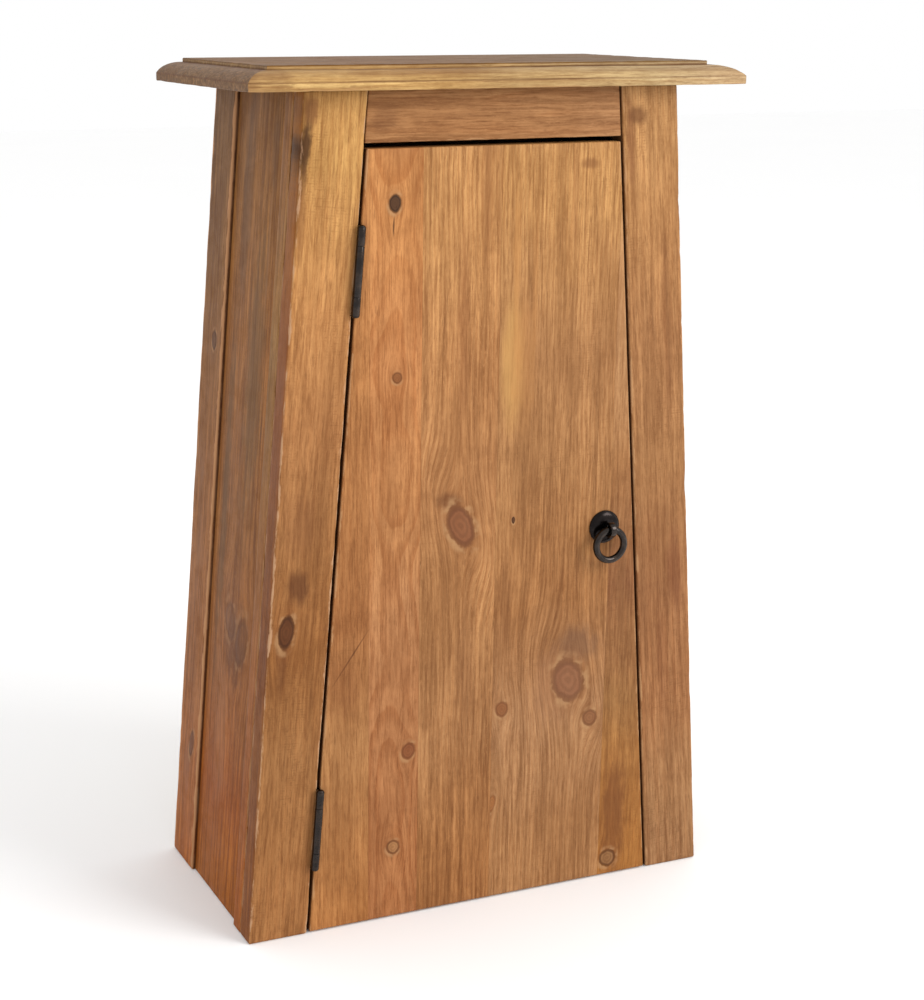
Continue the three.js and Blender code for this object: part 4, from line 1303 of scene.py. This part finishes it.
@dataclass
class Carcass:
    """Stiles, sides, rails, shelves and back."""

    body: str = "carcass"
    half_width_mm: float = HALF_WIDTH_MM
    inner_flank: tuple[float, float, float] = (0.95, 0.92, 0.87)

    def stiles(self) -> None:
        """Makes the two front stiles."""
        left = Pine("left_stile_pine", (
            (0, (183, 126, 75)), (60, (182, 125, 74)), (150, (176, 123, 74)),
            (235, (164, 108, 59)), (330, (181, 126, 76)), (400, (193, 134, 82)),
            (480, (213, 152, 92)), (600, (218, 164, 96))),
            (80.0, 26.0), 6.0, 22.0, 6.0, 0.34, 0.62, 1.0, 0.85, joints=(0.0, 1.0),
            flank=(0.69, 0.5, 0.25), rubbed_tone=(220, 172, 132), rubbed_least=0.42,
            knots=(Knot(-168, 249, 5.6, 12.0, 0.1, (104, 60, 34), (70, 40, 24)),),
            patches=(Patch(-158, 282, 11, 17, (112, 70, 42), 0.75, 0.0, 1.6),
                     Patch(-172, 225, 5, 30, (124, 78, 46), 0.5),
                     Patch(-151, 600, 5, 34, (92, 64, 40), 0.95, LEAN, 1.8),
                     Patch(-146, 628, 7, 14, (150, 104, 64), 0.8, LEAN, 1.8),
                     Patch(-169, 430, 3.2, 150, (156, 98, 58), 0.6, 0.0, 0.8),
                     Patch(-154, 555, 4, 40, (150, 102, 60), 0.6),
                     Patch(-156, 330, 16, 30, (150, 100, 62), 0.4)))
        right = Pine("right_stile_pine", (
            (0, (183, 134, 90)), (60, (181, 132, 87)), (150, (180, 125, 80)),
            (250, (171, 118, 76)), (350, (189, 136, 87)), (450, (187, 133, 85)),
            (560, (201, 146, 91)), (640, (210, 157, 100))),
            (-60.0, 30.0), 5.2, 24.0, 7.0, 0.4, 0.7, 0.9, 0.8, joints=(1.0, 0.0),
            rubbed_least=0.3,
            patches=(Patch(117, 620, 11, 9, (120, 78, 46), 0.75),
                     Patch(112, 600, 4, 40, (150, 100, 62), 0.6),
                     Patch(150, 460, 6, 90, (146, 98, 60), 0.5),
                     Patch(168, 258, 9, 40, (146, 92, 60), 0.55),
                     Patch(160, 180, 6, 60, (150, 98, 62), 0.4)))
        Board("left_front_stile", self.body, "honey_pine", Run.LEANING_LEFT_WALL, left,
              (-self.half_width_mm, 0.0, 0.0), 1.4, 0.9, 5.0,
              chips=((0.0, 604.0, 34.0, 1.9), (0.0, 548.0, 22.0, 1.0),
                     (0.0, 90.0, 20.0, 0.9))).build()
        Board("right_front_stile", self.body, "honey_pine", Run.LEANING_RIGHT_WALL, right,
              (self.half_width_mm, 0.0, 0.0), 1.4, 0.9, 5.0,
              chips=((0.0, 560.0, 26.0, 1.2), (0.0, 330.0, 16.0, 0.9))).build()

    def side(self, name: str) -> None:
        """Makes the strip, panel and post of one side."""
        left = name == "left"
        run = Run.LEFT_SIDE if left else Run.RIGHT_SIDE
        foot = ((-1.0 if left else 1.0) * self.half_width_mm, 0.0, 0.0)
        seed = 10.0 if left else 20.0
        knots = (Knot(66, 222, 11, 19, 0.3, (128, 86, 60), (100, 66, 46), 0.5),
                 Knot(93, 232, 10, 14, -0.3, (132, 90, 62), (104, 68, 48), 0.45)) if left else (
                     Knot(88, 300, 7, 10, 0.2, (128, 84, 54), (98, 62, 40), 0.8),)
        finishes = {
            "side_strip": Pine(name + "_strip_pine", (
                (20, (184, 103, 33)), (150, (186, 113, 54)), (300, (174, 115, 60)),
                (450, (171, 124, 68)), (600, (178, 121, 65))), (70.0, 30.0), 4.6, 18.0,
                seed, 0.4, 0.85, 0.8, 0.6, rubbed_tone=(196, 152, 108),
                rubbed_width=1.3, rubbed_least=0.5),
            "side_panel": Pine(name + "_panel_pine", (
                (20, (193, 113, 35)), (90, (185, 103, 35)), (170, (180, 114, 58)),
                (300, (171, 112, 58)), (450, (178, 118, 61)), (600, (172, 118, 61))),
                (100.0, 34.0), 5.2, 30.0, seed + 1, 0.5, 1.0, 0.9, 0.0,
                knots=knots,
                patches=(Patch(52, 388, 1.4, 16, (92, 62, 42), 0.7),
                         Patch(80, 215, 26, 34, (112, 74, 52), 0.55, 0.3, 2.2),
                         Patch(74, 430, 22, 130, (132, 106, 72), 0.5, 0.0, 1.8),
                         Patch(122, 330, 9, 150, (112, 88, 62), 0.55, 0.0, 1.8),
                         Patch(60, 520, 3, 60, (168, 128, 90), 0.5, 0.0, 1.4),
                         Patch(112, 560, 12, 90, (120, 90, 66), 0.55),
                         Patch(58, 600, 8, 40, (120, 88, 62), 0.5),
                         Patch(100, 130, 16, 60, (190, 132, 84), 0.4),
                         Patch(46, 130, 4, 60, (132, 84, 48), 0.5))),
            "rear_post": Pine(name + "_post_pine", (
                (20, (205, 122, 53)), (150, (178, 114, 61)), (300, (173, 112, 56)),
                (450, (166, 114, 64)), (600, (145, 101, 55))), (200.0, 40.0), 4.8, 24.0,
                seed + 2, 0.42, 0.9, 0.7, 0.95, rubbed_tone=(214, 158, 112),
                rubbed_width=3.4, rubbed_least=0.55,
                joints=(0.0, 1.0) if left else (1.0, 0.0),
                knots=(Knot(160, 443, 5, 7, 0.0, (110, 74, 50), (84, 54, 36), 0.8),
                       Knot(160, 105, 4.5, 11, 0.2, (122, 76, 50), (92, 58, 38), 0.8)),
                patches=(Patch(170, 300, 8, 60, (140, 98, 68), 0.4),
                         Patch(168, 80, 8, 26, (170, 118, 84), 0.5))),
        }
        for part, finish in finishes.items():
            if not left:
                finish = replace(finish, tones=RIGHT_SIDE_TONES)
            Board(f"{name}_{part}", self.body, "brown_pine", run, finish, foot,
                  soften_mm=0.9 if part != "rear_post" else 1.6,
                  chip_mm=0.5 if part != "rear_post" else 1.0, step_mm=8.0).build()

    def rails(self) -> None:
        """Makes the rail over the door."""
        finish = Pine("front_rail_pine", (
            (90, (187, 133, 84)), (160, (188, 133, 84)), (260, (187, 133, 85)),
            (330, (190, 137, 91))), (20.0, 30.0), 4.4, 20.0, 31.0, 0.4, 0.7, 0.25, 0.6,
            patches=(Patch(-90, 622, 12, 14, (130, 86, 54), 0.4),))
        Board("front_top_rail", self.body, "brown_pine", Run.LEVEL, finish,
              (0.0, 0.0, 643.0), 1.0, 0.5, 8.0).build()

    def inside(self) -> None:
        """Makes the unwaxed boards inside and behind."""
        tones = ((0, (196, 158, 112)), (330, (202, 164, 118)), (640, (194, 156, 112)))
        level = ("hanging_rail", "lower_rear_rail", "bottom_board", "lower_shelf",
                 "upper_shelf")
        for index, node in enumerate(level):
            finish = Pine(node + "_pine", tones, (70.0 + 20 * index, 26.0), 5.0, 34.0,
                          40.0 + index, 0.5, 0.5, 0.5, 0.3,
                          knots=(Knot(30.0 * index - 60, 300, 6, 6),), sheen=0.3,
                          joints=(0.0, 0.0), flank=self.inner_flank)
            Board(node, self.body, "raw_pine", Run.LEVEL, finish, (0.0, 100.0, 300.0),
                  0.8, 0.3, 12.0).build()
        back = Pine("back_panel_pine", tones, (40.0, 30.0), 6.0, 46.0, 50.0, 0.5, 0.5, 0.3, 0.2,
                    knots=(Knot(-70, 420, 9, 12), Knot(60, 180, 7, 9)), sheen=0.3,
                    joints=(0.0, 0.0), flank=self.inner_flank)
        Board("back_panel", self.body, "raw_pine", Run.UPRIGHT, back, (0.0, 180.0, 0.0),
              0.5, 0.2, 12.0).build()
        for index, node in enumerate(("left_lower_cleat", "left_upper_cleat",
                                      "right_lower_cleat", "right_upper_cleat")):
            finish = Pine(node + "_pine", tones, (60.0, 22.0), 4.5, 20.0, 60.0 + index, 0.5,
                          0.5, 0.5, 0.3, sheen=0.3, joints=(0.0, 0.0),
                          flank=self.inner_flank)
            Board(node, self.body, "raw_pine", Run.FORE_AND_AFT, finish, (0.0, 100.0, 300.0),
                  0.9, 0.3, 12.0).build()

    def top(self) -> None:
        """Makes the moulded top board."""
        # Its two crease lines at 3.0 and -5.2 mm across are painted shade in the moulding's
        # creases.
        finish = Pine("top_pine", (
            (0, (161, 118, 75)), (30, (221, 180, 116)), (150, (220, 176, 111)),
            (330, (211, 181, 131)), (520, (207, 170, 135)), (650, (199, 162, 129))),
            (60.0, 18.0), 4.2, 18.0, 8.0, 0.6, 0.7, 0.15, 0.3, joints=(0.0, 0.0),
            flank=(0.39, 0.28, 0.12), crease_shade_lines=(3.0, -5.2), end_span=(-199.0, 199.0),
            patches=(Patch(-60, 655, 3, 70, (150, 104, 58), 0.5),))
        work = copy_of("top_board")
        board = Board("top_board", self.body, "golden_pine", Run.LEVEL, finish,
                      (0.0, 0.0, 652.0), step_mm=6.0)
        spans = board.spans(work)
        edges = [edge for edge in work.edges if edge.calc_length() > 60.0 * MM
                 and edge.is_convex and edge.calc_face_angle(0.0) > math.radians(50)]
        bmesh.ops.bevel(work, geom=edges, offset=0.7 * MM, offset_type="OFFSET", segments=3,
                        profile=0.5, affect="EDGES", material=-1, clamp_overlap=True)
        for index in range(1, 66):
            cut(work, Vector((CAD_BOX[0].x + index * 6.1 * MM, 0.0, 0.0)), Vector((1, 0, 0)))
        for index in range(1, 34):
            cut(work, Vector((0.0, CAD_BOX[0].y + index * 6.1 * MM, 0.0)), Vector((0, 1, 0)))
        work.normal_update()
        low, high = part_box("top_board")
        for vert in work.verts:
            rim = min(vert.co.x - low.x, high.x - vert.co.x, vert.co.y - low.y)
            if rim < 24 * MM and vert.co.y < high.y - 1 * MM:
                bite = max(0.0, noise.noise(vert.co * 60.0)) + max(
                    0.0, noise.noise(vert.co * 190.0) - 0.15)
                vert.co -= vert.normal * (0.45 * bite * MM)
        shade(work, 30.0)
        mesh = to_mesh(work, "top_board_wood")
        finish_piece("top_board_wood", mesh, finish.make(board.timber(), spans[:4]), self.body,
                     board.slot, "top_board")

    def build(self) -> None:
        """Makes all the boards that stay still."""
        self.stiles()
        self.side("left")
        self.side("right")
        self.rails()
        self.inside()
        self.top()


@dataclass
class Hardware:
    """Hinges, catch and hangers, kept to their frame shapes but softened."""

    soften_mm: float = 0.25

    def part(self, node: str, material: bpy.types.Material, slot: str) -> bpy.types.Object:
        """Makes one small part with softened corners.

        Args:
            node: the frame node.
            material: its finish.
            slot: the record's material slot.

        Returns:
            The new piece.
        """
        work = copy_of(node)
        edges = [edge for edge in work.edges
                 if len(edge.link_faces) == 2 and edge.is_convex
                 and edge.calc_face_angle(0.0) > math.radians(50)]
        if edges:
            bmesh.ops.bevel(work, geom=edges, offset=self.soften_mm * MM, offset_type="OFFSET",
                            segments=2, profile=0.5, affect="EDGES", material=-1,
                            clamp_overlap=True)
        shade(work, 40.0)
        mesh = to_mesh(work, node + "_metal")
        body = body_of(frame["nodes"][node])[0]
        return finish_piece(node + "_metal", mesh, material, body, slot, node)

    def build(self) -> None:
        """Makes every hinge, screw, plate and catch part."""
        bronze = BRONZE.make()
        zinc = ZINC.make()
        plastic = PLASTIC.make()
        for node in sorted(frame["nodes"]):
            if "_hinge_" in node or node in ("pull_stud", "pull_washer", "pull_nut"):
                self.part(node, bronze, "dark_bronze")
            elif "hanger" in node or "strike" in node:
                self.part(node, zinc, "zinc_steel")
            elif node == "catch_body":
                self.part(node, plastic, "catch_plastic")


@dataclass
class Pull:
    """The ring pull: a domed rose and a hanging ring."""

    ring_radius_mm: float = 12.3
    wire_radius_mm: float = 2.8
    turns: int = 72

    def ring(self, material: bpy.types.Material) -> None:
        """Makes the hand-bent ring by spinning its wire round."""
        low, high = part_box("pull_ring")
        center = (low + high) / 2
        work = bmesh.new()
        made = bmesh.ops.create_circle(work, segments=20, radius=self.wire_radius_mm * MM)
        stand = Matrix.Translation((self.ring_radius_mm * MM, 0.0, 0.0)) @ Matrix.Rotation(
            QUARTER, 4, "X")
        bmesh.ops.transform(work, matrix=stand, verts=made["verts"])
        bmesh.ops.spin(work, geom=work.verts[:] + work.edges[:], cent=(0, 0, 0), axis=(0, 0, 1),
                       angle=FULL_TURN, steps=self.turns, use_merge=True)
        bmesh.ops.remove_doubles(work, verts=work.verts, dist=1e-7)
        bmesh.ops.recalc_face_normals(work, faces=work.faces)
        work.normal_update()
        for vert in work.verts:
            dip = max(0.0, noise.noise(vert.co * 260.0)) * 0.16
            vert.co -= vert.normal * (dip * MM)
        hang = Matrix.Translation(center) @ Matrix.Rotation(QUARTER, 4, "X")
        bmesh.ops.transform(work, matrix=hang, verts=work.verts)
        shade(work, 80.0)
        mesh = to_mesh(work, "pull_ring_metal")
        finish_piece("pull_ring_metal", mesh, material, "ring", "dark_bronze", "pull_ring")

    def rose(self, material: bpy.types.Material) -> None:
        """Makes the rose from the frame's dome, smoothed and lightly beaten."""
        work = bmesh.new()
        work.from_mesh(frame["nodes"]["pull_rose"].data)
        bmesh.ops.remove_doubles(work, verts=work.verts, dist=WELD)
        shade(work, 32.0)
        mesh = to_mesh(work, "pull_rose_metal")
        finish_piece("pull_rose_metal", mesh, material, "door", "dark_bronze", "pull_rose")

    def build(self) -> None:
        """Makes the ring and the rose."""
        self.ring(BRONZE.make())
        self.rose(OLD_STEEL.make())


@dataclass
class Studio:
    """Pale floor, soft light and the camera."""

    eye: tuple[float, float, float] = (-0.64042, -1.44643, 0.09172)
    yaw: float = 0.4035
    pitch: float = 0.262
    roll: float = -0.0023
    lens_mm: float = 68.42
    shift: tuple[float, float] = (0.097, 0.008)
    floor_size: float = 9.0

    def camera(self) -> None:
        """Sets the camera."""
        ahead = Vector((math.sin(self.yaw) * math.cos(self.pitch),
                        math.cos(self.yaw) * math.cos(self.pitch), -math.sin(self.pitch)))
        right = Vector((math.cos(self.yaw), -math.sin(self.yaw), 0.0))
        down = ahead.cross(right)
        cosine, sine = math.cos(self.roll), math.sin(self.roll)
        right, down = right * cosine + down * sine, down * cosine - right * sine
        data = bpy.data.cameras.new("camera")
        data.lens = self.lens_mm
        data.shift_x, data.shift_y = self.shift
        camera = bpy.data.objects.new("camera", data)
        turn = Matrix((right, -down, -ahead)).transposed().to_4x4()
        camera.matrix_world = Matrix.Translation(self.eye) @ turn
        bpy.context.scene.collection.objects.link(camera)
        bpy.context.scene.camera = camera

    def floor(self) -> None:
        """Lays a plain pale floor."""
        work = bmesh.new()
        bmesh.ops.create_grid(work, x_segments=1, y_segments=1, size=self.floor_size)
        bmesh.ops.translate(work, vec=(0.0, 0.0, FOOT - 0.0004), verts=work.verts)
        mesh = to_mesh(work, "floor")
        material, tree, shader, where = new_material("pale_floor")
        cloud = tree.noise(where, 2.0, 3.0)
        tone = tree.mix(cloud, (0.975, 0.975, 0.975, 1), (0.99, 0.99, 0.987, 1))
        tree.feed(shader.inputs["Base Color"], tone)
        shader.inputs["Roughness"].default_value = 0.9
        shader.inputs["Specular IOR Level"].default_value = WOOD_SPECULAR
        mesh.materials.append(material)
        floor = bpy.data.objects.new("floor", mesh)
        bpy.context.scene.collection.objects.link(floor)

    def lamp(self, name: str, place: Vector, size: float, power: float) -> None:
        """Hangs a soft square lamp that faces the cabinet.

        Args:
            name: its name.
            place: where it hangs.
            size: its side in metres.
            power: its power in watts.
        """
        data = bpy.data.lights.new(name, "AREA")
        data.size = size
        data.energy = power
        lamp = bpy.data.objects.new(name, data)
        aim = Vector((0.0, -0.1, -0.3)) - place
        lamp.matrix_world = Matrix.Translation(place) @ aim.to_track_quat(
            "-Z", "Y").to_matrix().to_4x4()
        bpy.context.scene.collection.objects.link(lamp)

    def build(self) -> None:
        """Sets up the whole studio."""
        self.camera()
        self.floor()
        world = bpy.data.worlds.new("studio")
        world.use_nodes = True
        sky = world.node_tree.nodes["Background"]
        sky.inputs["Color"].default_value = (1.0, 1.0, 1.0, 1.0)
        sky.inputs["Strength"].default_value = 1.0
        bpy.context.scene.world = world
        self.lamp("key", Vector((1.9, -2.5, 1.3)), 1.8, 70.0)
        bpy.context.scene.view_settings.view_transform = "Standard"


def main() -> None:
    """Builds the studio and every sub-assembly in order."""
    logging.basicConfig(level=logging.INFO, format="%(name)s %(message)s")
    for part in (Studio(), Carcass(), Door(), Hardware(), Pull()):
        LOG.info("building %s", type(part).__name__)
        part.build()


if __name__ == "__main__":
    main()
